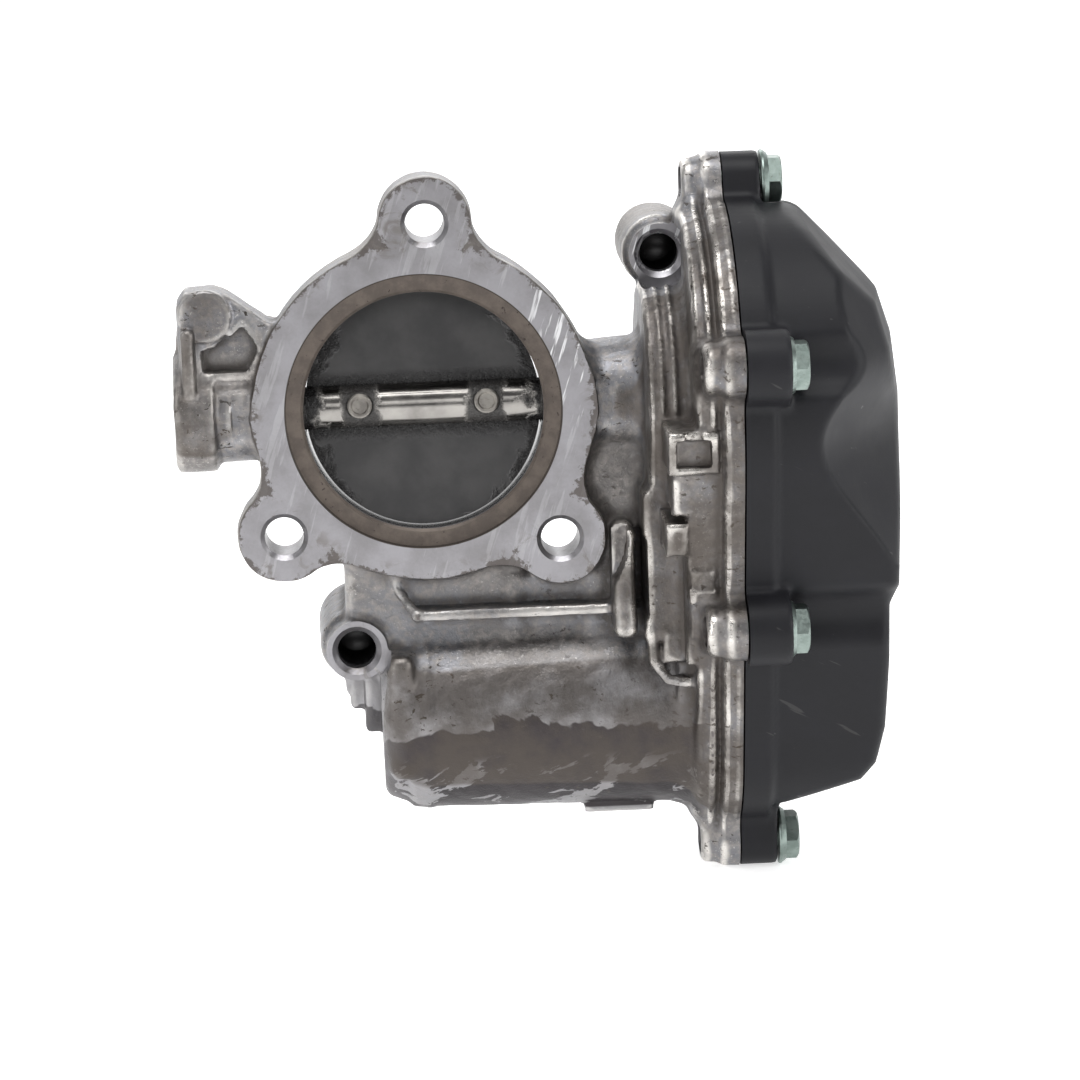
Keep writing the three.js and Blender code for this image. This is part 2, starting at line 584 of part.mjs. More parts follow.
function motorBracket() {
  const ears = motorScrews.map((place) => [place.y, place.z, MOTOR_SCREW.head]);
  const plate = extrudeX(hull([[motorAxis.y, motorAxis.z, MOTOR.r - 1], ...ears], 0, 20),
    caseFloor + GAP, bracketTop);
  const hole = MOTOR_SCREW.shank + GAP;
  return cut(plate, roundX(motorAxis, caseFloor, bracketTop + 1, 5),
    ...motorScrews.map((place) => roundX(place, caseFloor, bracketTop + 1, hole, hole, 10)));
}

function motorScrew(place) {
  const seat = bracketTop + GAP;
  return join(roundX(place, seat, seat + 1.4, MOTOR_SCREW.head, MOTOR_SCREW.head, 16),
    roundX(place, caseFloor - MOTOR_SCREW.length + GAP, seat + 0.5, MOTOR_SCREW.shank,
      MOTOR_SCREW.shank, 10));
}

// ---------------------------------------------------------------- cover, sensor and connector

function gearCover() {
  const { x, floorY, mouthY } = connector;
  const { z, width, height, wall } = CONNECTOR;
  const [halfX, halfZ] = [width / 2, height / 2];
  const slotX = TERMINAL.thick / 2 + GAP;
  const slotZ = TERMINAL.width / 2 + GAP;
  const headSpace = SCREW.flange + 0.6;
  const shell = cut(
    join(rimWithLugs(coverStart, flangeTop), dome(0),
      box(x - halfX, x + halfX, caseR.shaft - 10, mouthY, z - halfZ, z + halfZ)),
    dome(COVER.wall),
    extrudeX(hull(caseCircles), split, flangeTop),
    box(x - halfX + wall, x + halfX - wall, floorY, mouthY + 1, z - halfZ + wall, z + halfZ - wall),
    ...terminalRows.map((row) => box(x - slotX, x + slotX, 0, floorY + 1, row - slotZ, row + slotZ)),
    ...coverScrews.map((screw) => roundX(screw, split, domeTop, SCREW.shank + GAP, SCREW.shank + GAP, 12)),
    ...coverScrews.map((screw) => roundX(screw, flangeTop, domeTop, headSpace)));
  const ceiling = domeTop - COVER.wall / 2;
  const posts = [BOARD.z1 - 5, BOARD.z0 + 4].map((postZ) => roundX({ y: BOARD.y0 + 3, z: postZ },
    boardX + BOARD.thick + GAP, ceiling, 1.8, 1.8, 12));
  const pinHole = GEAR_PIN_R + GAP;
  const pinBoss = cut(roundX(middleAxis, smallEnd + 1, ceiling, GEAR_PIN_R + 2.5),
    roundX(middleAxis, smallEnd, smallEnd + 7, pinHole, pinHole, 12));
  return join(shell, ...posts, pinBoss);
}

function terminal(row) {
  const [half, thin] = [TERMINAL.width / 2, TERMINAL.thick / 2];
  const inner = BOARD.y1 - 2.5;
  return join(
    box(connector.x - thin, connector.x + thin, inner, connector.mouthY - 4, row - half, row + half),
    box(connector.x, boardX - GAP, inner, inner + 1, row - half, row + half));
}

function coverScrew(place) {
  const seat = flangeTop + GAP;
  const hexR = SCREW.acrossFlats / 2 / Math.cos(Math.PI / 6);
  return join(
    roundX(place, seat, seat + 1.3, SCREW.flange, SCREW.flange - 0.5),
    roundX(place, seat + 1, seat + SCREW.headHeight, hexR, hexR - 0.2, 6),
    roundX(place, seat - SCREW.length, seat + 0.5, SCREW.shank, SCREW.shank, 12));
}

// ---------------------------------------------------------------- seals and bearings

function coverGasket() {
  return cut(
    extrudeX(hull(caseCircles, GASKET.inset + GASKET.width), split - GASKET.thick, split),
    extrudeX(hull(caseCircles, GASKET.inset), split - 5, split + 5));
}

function manifoldSeal() {
  const centre = { x: 0, z: 0 };
  const inner = BORE_R + SEAL_RING.inset + GAP;
  const outer = inner + SEAL_RING.width - 2 * GAP;
  return cut(
    roundY(centre, rearY - SEAL_RING.depth + GAP, rearY - 0.2, outer, outer, 40),
    roundY(centre, rearY - 5, rearY + 1, inner, inner, 40));
}

const sleeve = (x0, x1) => ringX(shaftAxis, x0, x1, SHAFT_R + GAP, bearingR);

// ---------------------------------------------------------------- assembly

const throttleBody = new THREE.Group();
throttleBody.position.y = -rearY;

function add(name, shape, [color, roughness, metalness]) {
  const material = new THREE.MeshStandardMaterial({ color, roughness, metalness });
  const mesh = new THREE.Mesh(toGeometry(shape), material);
  mesh.name = name;
  throttleBody.add(mesh);
}

const castAluminium = [0x8c8680, 0.55, 0.8];
const machinedSteel = [0xb4b4b8, 0.3, 1];
const motorSteel = [0x9b9da0, 0.4, 1];
const darkSteel = [0x4a4a4d, 0.45, 1];
const plateAlloy = [0x4c4c4e, 0.5, 1];
const zinc = [0x8f9a92, 0.4, 1];
const brass = [0xb9a15a, 0.35, 1];
const copper = [0xb87348, 0.4, 1];
const blackPlastic = [0x2e2e31, 0.5, 0];
const gearPlastic = [0xd8d2bc, 0.5, 0];
const rubber = [0x1c1c1e, 0.8, 0];
const ferrite = [0x3a3a3e, 0.6, 0.3];
const boardGreen = [0x1f5a38, 0.5, 0];

add('throttle_housing', housing(), castAluminium);
add('shaft_seal_left', sleeve(-sealEnd, -sealStart - GAP), rubber);
add('shaft_seal_right', sleeve(sealStart + GAP, sealEnd), rubber);
add('shaft_bearing_left', sleeve(-bearingEnd, -sealEnd - GAP), machinedSteel);
add('shaft_bearing_right', sleeve(sealEnd + GAP, bearingEnd), machinedSteel);
add('bearing_end_plug', roundX(shaftAxis, leftEnd + 0.4, leftEnd + 0.4 + PLUG_THICK, bearingR),
  machinedSteel);
add('throttle_shaft', throttleShaft(), machinedSteel);
add('throttle_plate', throttlePlate(), plateAlloy);
add('plate_screw_1', plateScrew(-PLATE_SCREW.x), zinc);
add('plate_screw_2', plateScrew(PLATE_SCREW.x), zinc);
add('throttle_gear', throttleGear(), gearPlastic);
add('position_magnet', ringX(shaftAxis, sectorEnd + GAP, sectorEnd + 2.3, SHAFT_R + GAP, SHAFT_R + 5),
  ferrite);
add('return_spring', returnSpring(), darkSteel);
add('gear_pin', roundX(middleAxis, plateStart - 3, smallEnd + 6, GEAR_PIN_R, GEAR_PIN_R, 16),
  machinedSteel);
add('intermediate_gear', intermediateGear(), gearPlastic);
add('motor_pinion', motorPinion(), brass);
add('motor_shaft', roundX(motorAxis, canLeft + 2, pinionStart + PINION.width - 0.5, MOTOR.shaft,
  MOTOR.shaft, 12), machinedSteel);
add('armature_core', armatureCore(), darkSteel);
add('commutator', ringX(motorAxis, canRight - 12, canRight - 5, shaftHole, commutatorR, 16), copper);
add('motor_can', motorCan(), motorSteel);
add('motor_magnet_1', motorMagnet(Math.PI / 2), ferrite);
add('motor_magnet_2', motorMagnet(-Math.PI / 2), ferrite);
add('motor_end_cap', ringX(motorAxis, canRight - 3.5, canRight, shaftHole,
  MOTOR.r - MOTOR.wall - GAP), blackPlastic);
add('motor_brush_1', motorBrush(-1), ferrite);
add('motor_brush_2', motorBrush(1), ferrite);
add('motor_bracket', motorBracket(), motorSteel);
motorScrews.forEach((place, i) => add(`motor_screw_${i + 1}`, motorScrew(place), zinc));
add('motor_wave_washer', ringX(motorAxis, barrelLeft + 2 + GAP, canLeft - GAP, MOTOR.r - 7.5,
  MOTOR.r - 2), machinedSteel);
add('cover_gasket', coverGasket(), rubber);
add('gear_cover', gearCover(), blackPlastic);
coverScrews.forEach((place, i) => add(`cover_screw_${i + 1}`, coverScrew(place), zinc));
add('sensor_board', box(boardX, boardX + BOARD.thick, BOARD.y0, BOARD.y1, BOARD.z0, BOARD.z1),
  boardGreen);
add('sensor_chip', box(boardX - 1.2, boardX - GAP, -3.5, 3.5, -3.5, 3.5), blackPlastic);
terminalRows.forEach((row, i) => add(`connector_terminal_${i + 1}`, terminal(row), copper));
add('manifold_seal', manifoldSeal(), rubber);

export default throttleBody;
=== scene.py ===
import json
import math
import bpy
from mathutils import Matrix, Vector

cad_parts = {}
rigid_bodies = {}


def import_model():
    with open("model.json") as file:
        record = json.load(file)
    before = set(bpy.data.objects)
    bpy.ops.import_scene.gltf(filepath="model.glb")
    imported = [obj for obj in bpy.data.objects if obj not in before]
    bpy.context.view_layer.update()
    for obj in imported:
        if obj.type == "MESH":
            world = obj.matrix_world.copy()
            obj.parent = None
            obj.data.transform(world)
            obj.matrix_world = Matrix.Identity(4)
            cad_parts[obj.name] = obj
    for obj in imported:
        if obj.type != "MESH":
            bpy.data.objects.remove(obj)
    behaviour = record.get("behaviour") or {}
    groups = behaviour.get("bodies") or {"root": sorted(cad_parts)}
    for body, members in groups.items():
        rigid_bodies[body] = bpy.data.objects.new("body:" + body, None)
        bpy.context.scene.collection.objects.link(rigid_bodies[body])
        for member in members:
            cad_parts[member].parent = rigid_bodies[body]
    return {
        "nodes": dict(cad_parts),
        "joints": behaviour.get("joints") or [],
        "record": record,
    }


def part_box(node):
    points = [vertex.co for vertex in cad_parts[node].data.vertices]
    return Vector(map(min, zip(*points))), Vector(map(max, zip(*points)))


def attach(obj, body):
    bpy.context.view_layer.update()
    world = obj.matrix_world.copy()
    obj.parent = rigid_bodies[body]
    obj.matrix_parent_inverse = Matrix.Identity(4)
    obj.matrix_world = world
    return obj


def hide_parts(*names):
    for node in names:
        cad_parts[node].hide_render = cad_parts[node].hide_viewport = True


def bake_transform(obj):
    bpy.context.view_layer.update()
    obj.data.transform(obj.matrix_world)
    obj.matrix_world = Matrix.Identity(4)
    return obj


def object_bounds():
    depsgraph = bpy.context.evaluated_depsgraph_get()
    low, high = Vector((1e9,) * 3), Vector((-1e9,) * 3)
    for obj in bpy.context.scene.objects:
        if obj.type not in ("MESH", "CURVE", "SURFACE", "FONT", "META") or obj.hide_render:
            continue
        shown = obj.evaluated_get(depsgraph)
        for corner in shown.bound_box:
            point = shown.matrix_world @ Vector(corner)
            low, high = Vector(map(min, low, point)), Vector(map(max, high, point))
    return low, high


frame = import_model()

from types import SimpleNamespace

import bpy
import numpy as np
import openvdb
from mathutils import Matrix, Vector

cad_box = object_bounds()
for left_over in [o for o in bpy.data.objects if o.name in ("Cube", "Light", "Camera")]:
    bpy.data.objects.remove(left_over)

# Everything below is drawn in millimetres about the throttle shaft: X along the shaft towards the
# gear cover, Y along the bore away from the inlet, Z up. finish_piece() moves it into the part's own
# frame, in metres.

SHAFT_Y = frame["joints"][0]["pos_m"][1] * 1000
STEP = 0.5          # grid of the cast and moulded shapes
REACH = 7.0                                # distances are kept this far from a surface


def node_box(node):
    low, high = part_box(node)
    shift = Vector((0, SHAFT_Y, 0))
    return low * 1000 - shift, high * 1000 - shift


def node_centre(node):
    low, high = node_box(node)
    return (low + high) / 2


housing_low, housing_high = node_box("throttle_housing")
cover_low, cover_high = node_box("gear_cover")
plate_high = node_box("throttle_plate")[1]
bearing_low, bearing_high = node_box("shaft_bearing_right")
gasket_low, gasket_high = node_box("cover_gasket")
can_low, can_high = node_box("motor_can")
seal_low, seal_high = node_box("manifold_seal")
shaft_low, shaft_high = node_box("throttle_shaft")
gear_high = node_box("throttle_gear")[1]

GAP = 0.3                                  # clearance between pieces that fit together
BORE_R = plate_high.x + GAP
REAR_Y = -SHAFT_Y
INLET_Y = -9.0
FLANGE_R = BORE_R + 9.2
FLANGE_BACK = INLET_Y + 9.3
BODY_R = BORE_R + 4.5
SHAFT_R = (shaft_high.z - shaft_low.z) / 2
BEARING_R = (bearing_high.z - bearing_low.z) / 2
LEFT_X = housing_low.x
TUB_X = bearing_high.x + 0.2
TUB_R = 21.0
POCKET_R = 18.5
PLATE_X = TUB_X + 9
FLOOR_X = PLATE_X + 3
SPLIT_X = gasket_high.x
COVER_X = SPLIT_X + GAP
FLANGE_TOP = COVER_X + 6.7
DOME_X = cover_high.x
MIDDLE = node_centre("gear_pin")
MOTOR = node_centre("motor_can")
MOTOR_R = (can_high.z - can_low.z) / 2
BARREL_R = MOTOR_R + 4.4
BARREL_X = can_low.x - 4.2
CASE = [(0.0, 0.0, 30.0), (MIDDLE.y, MIDDLE.z, 22.5), (MOTOR.y, MOTOR.z, 18.0)]   # circles y, z, r
SCREWS = [node_centre(f"cover_screw_{i}") for i in range(1, 8)]
BOLT_CIRCLE = BORE_R + 12.3
BOLTS = [(BOLT_CIRCLE * math.cos(a), BOLT_CIRCLE * math.sin(a)) for a in np.radians((87.5, 220, 314.5))]
BOLT_R = 3.5                               # holes of the inlet flange
EAR_R = 8.4                                # flange metal round each of them
TUBE_R = 3.5                               # blind bores of the two tubes
SCREW_R = 2.5                              # shank of a cover screw
FOOT_X = (27, 39.5)                        # flat foot under the motor barrel
PIN_R = 2.3                                # bore for the intermediate gear's pin
SEAL_R = 22.9                              # inside of the manifold seal's groove
DRUM_X = TUB_X + 3.3                       # floor of the spring's pocket
FAR = 80                                   # half the width of a tool that cuts right across
DOME_TOP = DOME_X - 3.6                    # inner posts of the cover end inside its wall
CLOSED_TILT = -10                          # of the closed plate, in degrees
RIGHT_TUBE = SimpleNamespace(x=TUB_X + 4.3, z=TUB_R + 4, front=4.0)
LOWER_TUBE = SimpleNamespace(x=BARREL_X - 4.2, z=MOTOR.z + 14.3, front=-5.0)
REAR_BOSS = SimpleNamespace(x=-(BODY_R + 12.5), z=12.0, front=0.5)
PAD = SimpleNamespace(x=-(BODY_R + 12.2), z=18.6, r=4.8, front=-8.6)


# ---------------------------------------------------------------- distance shapes

def rounded(a, b, edge):
    """Where two distances meet at a rounded edge."""
    u, v = a + edge, b + edge
    outside = np.hypot(np.maximum(u, 0), np.maximum(v, 0))
    return outside + np.minimum(np.maximum(u, v), 0) - edge


def fillet(a, b, r):
    """Union of two distances with a round fillet of radius r between them."""
    if r <= 0:
        return np.minimum(a, b)
    return np.maximum(r, np.minimum(a, b)) - np.hypot(np.maximum(r - a, 0), np.maximum(r - b, 0))


def shape(low, high, distance):
    return SimpleNamespace(low=low, high=high, distance=distance)


def round_x(x0, x1, y, z, r, end_r=None, edge=0.8):
    end_r = r if end_r is None else end_r

    def distance(X, Y, Z):
        radius = r + (end_r - r) * np.clip((X - x0) / (x1 - x0), 0, 1)
        return rounded(np.hypot(Y - y, Z - z) - radius, np.maximum(x0 - X, X - x1), edge)
    big = max(r, end_r)
    return shape((x0, y - big, z - big), (x1, y + big, z + big), distance)


def round_y(x, z, y0, y1, r, end_r=None, edge=0.8):
    end_r = r if end_r is None else end_r

    def distance(X, Y, Z):
        radius = r + (end_r - r) * np.clip((Y - y0) / (y1 - y0), 0, 1)
        return rounded(np.hypot(X - x, Z - z) - radius, np.maximum(y0 - Y, Y - y1), edge)
    big = max(r, end_r)
    return shape((x - big, y0, z - big), (x + big, y1, z + big), distance)


def block(x0, x1, y0, y1, z0, z1, edge=1.0):
    """Box with rounded edges."""
    low, high = (x0, y0, z0), (x1, y1, z1)

    def distance(*grid):
        q = [np.abs(g - (a + b) / 2) - (b - a) / 2 + edge for g, a, b in zip(grid, low, high)]
        outside = np.sqrt(sum(np.maximum(v, 0) ** 2 for v in q))
        return outside + np.minimum(np.maximum(np.maximum(q[0], q[1]), q[2]), 0) - edge
    return shape(low, high, distance)


def outline_distance(outline, U, V):
    U, V = np.broadcast_arrays(U, V)
    best = np.full(U.shape, 1e9, np.float32)
    inside = np.zeros(U.shape, bool)
    for (u0, v0), (u1, v1) in zip(outline, outline[1:] + outline[:1]):
        du, dv = u1 - u0, v1 - v0
        if du * du + dv * dv < 1e-9:
            continue
        t = np.clip(((U - u0) * du + (V - v0) * dv) / (du * du + dv * dv), 0, 1)
        best = np.minimum(best, (U - u0 - t * du) ** 2 + (V - v0 - t * dv) ** 2)
        if v0 != v1:
            inside ^= ((v0 > V) != (v1 > V)) & (U < du * (V - v0) / dv + u0)
    best = np.sqrt(best)
    return np.where(inside, -best, best)


def prism(axis, outline, a0, a1, edge=0.8, corner=0.0):
    """Outline extruded along an axis. corner rounds it outwards."""
    u, v = {"x": (1, 2), "y": (0, 2), "z": (0, 1)}[axis]
    along = "xyz".index(axis)
    outline = [tuple(map(float, p)) for p in outline]

    def distance(*grid):
        flat = outline_distance(outline, grid[u], grid[v]) - corner
        return rounded(flat, np.maximum(a0 - grid[along], grid[along] - a1), edge)
    low, high = [0, 0, 0], [0, 0, 0]
    for k, i in enumerate((u, v)):
        low[i] = min(p[k] for p in outline) - corner
        high[i] = max(p[k] for p in outline) + corner
    low[along], high[along] = a0, a1
    return shape(low, high, distance)


def bead(points, r):
    """Round cord of metal along a broken line."""
    points = [np.array(p, float) for p in points]

    def distance(X, Y, Z):
        best = np.float32(1e9)
        for a, b in zip(points, points[1:]):
            e = b - a
            w = (X - a[0], Y - a[1], Z - a[2])
            t = np.clip(sum(w[i] * e[i] for i in range(3)) / (e @ e), 0, 1)
            best = np.minimum(best, sum((w[i] - t * e[i]) ** 2 for i in range(3)))
        return np.sqrt(best) - r
    all_points = np.array(points)
    return shape(all_points.min(0) - r, all_points.max(0) + r, distance)


def hull(circles, grow=0.0, samples=144):
    """Convex outline around circles (u, v, radius)."""
    points = sorted({(u + (r + grow) * math.cos(2 * math.pi * i / samples),
                      v + (r + grow) * math.sin(2 * math.pi * i / samples))
                     for u, v, r in circles for i in range(samples)})

    def half(chain_points):
        chain = []
        for p in chain_points:
            while len(chain) > 1 and ((chain[-1][0] - chain[-2][0]) * (p[1] - chain[-2][1])
                                      - (chain[-1][1] - chain[-2][1]) * (p[0] - chain[-2][0])) <= 1e-9:
                chain.pop()
            chain.append(p)
        return chain[:-1]
    return half(points) + half(points[::-1])


class Cast:
    """A solid kept as distances on a grid, so that joined shapes get the fillets of a casting."""

    def __init__(self, low, high):
        self.low = np.array(low, float) - 4 * STEP
        count = np.ceil((np.array(high) + 4 * STEP - self.low) / STEP).astype(int) + 1
        self.axes = [(self.low[i] + STEP * np.arange(count[i])).astype(np.float32) for i in range(3)]
        self.d = np.full(count, REACH, np.float32)

    def window(self, item):
        cuts = tuple(slice(int(np.searchsorted(a, lo - REACH)), int(np.searchsorted(a, hi + REACH)))
                     for a, lo, hi in zip(self.axes, item.low, item.high))
        return cuts, np.ix_(*[a[c] for a, c in zip(self.axes, cuts)])

    def add(self, item, r=1.5):
        cuts, grid = self.window(item)
        self.d[cuts] = fillet(self.d[cuts], item.distance(*grid), r)

    def carve(self, item, r=0.5):
        cuts, grid = self.window(item)
        self.d[cuts] = -fillet(-self.d[cuts], item.distance(*grid), r)

    def unevenness(self, height, size, seed):
        """Low swells in the surface, as a mould leaves them."""
        rng = np.random.default_rng(seed)
        swell = 0
        for _ in range(6):
            k = rng.normal(size=3)
            k *= 2 * math.pi / size / np.linalg.norm(k) * rng.uniform(0.6, 1.6)
            phase = rng.uniform(0, 2 * math.pi)
            a, b, c = (k[i] * self.axes[i] for i in range(3))
            swell = swell + np.sin(a[:, None, None] + b[None, :, None] + c[None, None, :] + phase)
        self.d += (height / 6) * swell.astype(np.float32)

    def piece(self):
        grid = openvdb.FloatGrid(3 * STEP)
        grid.copyFromArray(np.clip(self.d, -3 * STEP, 3 * STEP))
        grid.transform = openvdb.createLinearTransform(STEP)
        points, quads = grid.convertToQuads()
        points = points + self.low
        a, b, c = (points[quads[:, i]] for i in range(3))
        if np.einsum("ij,ij->", a, np.cross(b, c)) < 0:
            quads = quads[:, ::-1]
        return new_piece(points, quads)

    def cavity(self, points, size):
        """How far the surface near each point is hollow (negative) or proud (positive)."""
        soft = np.clip(self.d, -2 * size, 2 * size)
        n = max(1, round(size / STEP))
        for axis in range(3):
            pad = [(n + 1, n) if i == axis else (0, 0) for i in range(3)]
            total = np.cumsum(np.pad(soft, pad, mode="edge"), axis=axis, dtype=np.float64)
            count = soft.shape[axis]
            soft = (total.take(range(2 * n + 1, 2 * n + 1 + count), axis)
                    - total.take(range(count), axis)) / (2 * n + 1)
        return self.at(points, (soft - np.clip(self.d, -2 * size, 2 * size)) / size)

    def at(self, points, field=None):
        """The field, or the distance itself, at each point."""
        field = self.d if field is None else field
        where = (points - self.low) / STEP
        base = np.clip(np.floor(where).astype(int), 0, np.array(field.shape) - 2)
        f = np.clip(where - base, 0, 1)
        value = 0
        for corner in range(8):
            pick = [(corner >> i) & 1 for i in range(3)]
            weight = np.prod([f[:, i] if pick[i] else 1 - f[:, i] for i in range(3)], axis=0)
            value = value + weight * field[tuple(base[:, i] + pick[i] for i in range(3))]
        return value


# ---------------------------------------------------------------- mesh pieces

def new_piece(points, faces):
    mesh = bpy.data.meshes.new("piece")
    mesh.from_pydata(points, [], faces)
    piece = bpy.data.objects.new("piece", mesh)
    bpy.context.scene.collection.objects.link(piece)
    return piece


def turned(profile, axis, centre=(0, 0, 0), segments=96):
    """Profile of (distance along, radius) turned about an axis. Its ends lie on the axis."""
    u, v = {"x": (1, 2), "y": (2, 0), "z": (0, 1)}[axis]
    along = "xyz".index(axis)
    points, rings = [], []
    for a, r in profile:
        ring = []
        for i in range(1 if r == 0 else segments):
            p = [0.0, 0.0, 0.0]
            p[along] = a
            p[u] = centre[u] + r * math.cos(2 * math.pi * i / segments)
            p[v] = centre[v] + r * math.sin(2 * math.pi * i / segments)
            ring.append(len(points))
            points.append(p)
        rings.append(ring)
    faces = []
    for first, second in zip(rings, rings[1:]):
        for i in range(segments):
            j = (i + 1) % segments
            if len(first) == 1:
                faces.append((first[0], second[j], second[i]))
            elif len(second) == 1:
                faces.append((first[i], first[j], second[0]))
            else:
                faces.append((first[i], first[j], second[j], second[i]))
    return outward(new_piece(points, faces))


def rod(r, a0, a1, axis, centre=(0, 0, 0), segments=96):
    """Plain round bar along an axis."""
    return turned([(a0, 0), (a0, r), (a1, r), (a1, 0)], axis, centre, segments)


def rectangle(u0, u1, v0, v1):
    return [(u0, v0), (u1, v0), (u1, v1), (u0, v1)]


def pushed(axis, outline, a0, a1):
    """Outline pushed straight along an axis."""
    u, v = {"x": (1, 2), "y": (0, 2), "z": (0, 1)}[axis]
    along = "xyz".index(axis)
    n = len(outline)
    points = []
    for a in (a0, a1):
        for p in outline:
            q = [0.0, 0.0, 0.0]
            q[along], q[u], q[v] = a, p[0], p[1]
            points.append(q)
    faces = [tuple(range(n)), tuple(range(2 * n - 1, n - 1, -1))]
    faces += [((i + 1) % n, i, n + i, n + (i + 1) % n) for i in range(n)]
    return outward(new_piece(points, faces))


def outward(piece):
    """Turns a closed mesh's faces outwards."""
    mesh = piece.data
    mesh.calc_loop_triangles()
    co = np.array([v.co for v in mesh.vertices])
    tri = np.array([t.vertices for t in mesh.loop_triangles])
    if np.einsum("ij,ij->", co[tri[:, 0]], np.cross(co[tri[:, 1]], co[tri[:, 2]])) < 0:
        mesh.flip_normals()
    return piece


def settle(piece):
    """Applies a piece's modifiers."""
    graph = bpy.context.evaluated_depsgraph_get()
    mesh = bpy.data.meshes.new_from_object(piece.evaluated_get(graph))
    piece.modifiers.clear()
    old, piece.data = piece.data, mesh
    bpy.data.meshes.remove(old)
    return piece


def combine(piece, tools, operation):
    for tool in tools:
        step = piece.modifiers.new("combine", "BOOLEAN")
        step.operation, step.solver, step.object = operation, "MANIFOLD", tool
    settle(piece)
    for tool in tools:
        bpy.data.objects.remove(tool)
    return piece


def cut(piece, tools):
    whole = combine(tools[0], tools[1:], "UNION") if len(tools) > 1 else tools[0]
    return combine(piece, [whole], "DIFFERENCE")


def finish_piece(piece, name, body, slot, node, angle=32, materials=()):
    """Moves a drawn piece into the part's frame, gives it its name, body and finish, and stands it in
    for a CAD node."""
    piece.name = name
    piece.data.transform(Matrix.Translation((0, SHAFT_Y / 1000, 0)) @ Matrix.Scale(0.001, 4))
    piece.data.shade_smooth()
    piece.data.set_sharp_from_angle(angle=math.radians(angle))
    piece.data.materials.clear()
    for material in materials or [SLOTS[slot]]:
        piece.data.materials.append(material)
    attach(piece, body)
    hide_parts(node)


def points_of(piece):
    co = np.empty(len(piece.data.vertices) * 3, np.float32)
    piece.data.vertices.foreach_get("co", co)
    return co.reshape(-1, 3).astype(float)


def keep_value(piece, name, values):
    attribute = piece.data.attributes.new(name, "FLOAT", "POINT")
    attribute.data.foreach_set("value", np.asarray(values, np.float32))


# ---------------------------------------------------------------- cast housing

CASE_LINE = hull(CASE)


def nearest_circle(screw):
    return min(CASE, key=lambda c: math.hypot(screw.y - c[0], screw.z - c[1]) - c[2])


def lug_outline(screw, spare=0.0):
    """Lug at a cover screw, reaching towards the nearest gear case circle."""
    nearest = nearest_circle(screw)
    ty, tz = nearest[0] - screw.y, nearest[1] - screw.z
    return hull([(screw.y, screw.z, 5.2 + spare),
                 (screw.y + 0.2 * ty, screw.z + 0.2 * tz, 6.2 + spare)])


def flange_outline(X, Z):
    """Distance to the outline of the inlet flange: a disc with three lugs."""
    edge = np.hypot(X, Z) - FLANGE_R
    for x, z in BOLTS:
        s = (BORE_R - 1.5) / math.hypot(x, z)
        edge = fillet(edge, outline_distance(hull([(x, z, EAR_R), (x * s, z * s, 9.6)]), X, Z), 4.5)
    return edge


def case_side(x0, x1, z0, z1, height, floor=-12, edge=0.8):
    """Patch on the front of the gear case, following its outline from one height to another.

    x0 and x1 are measured from the split line."""
    x0, x1 = SPLIT_X + x0, SPLIT_X + x1
    inner, outer = hull(CASE, floor), hull(CASE, height)

    def distance(X, Y, Z):
        flat = np.maximum(np.abs(X - (x0 + x1) / 2) - (x1 - x0) / 2,
                          np.abs(Z - (z0 + z1) / 2) - (z1 - z0) / 2)
        flat = np.maximum(np.maximum(flat, Y + 8), -outline_distance(inner, Y, Z))
        return rounded(outline_distance(outer, Y, Z), flat, edge)
    return shape((x0, -44, z0), (x1, -6, z1), distance)


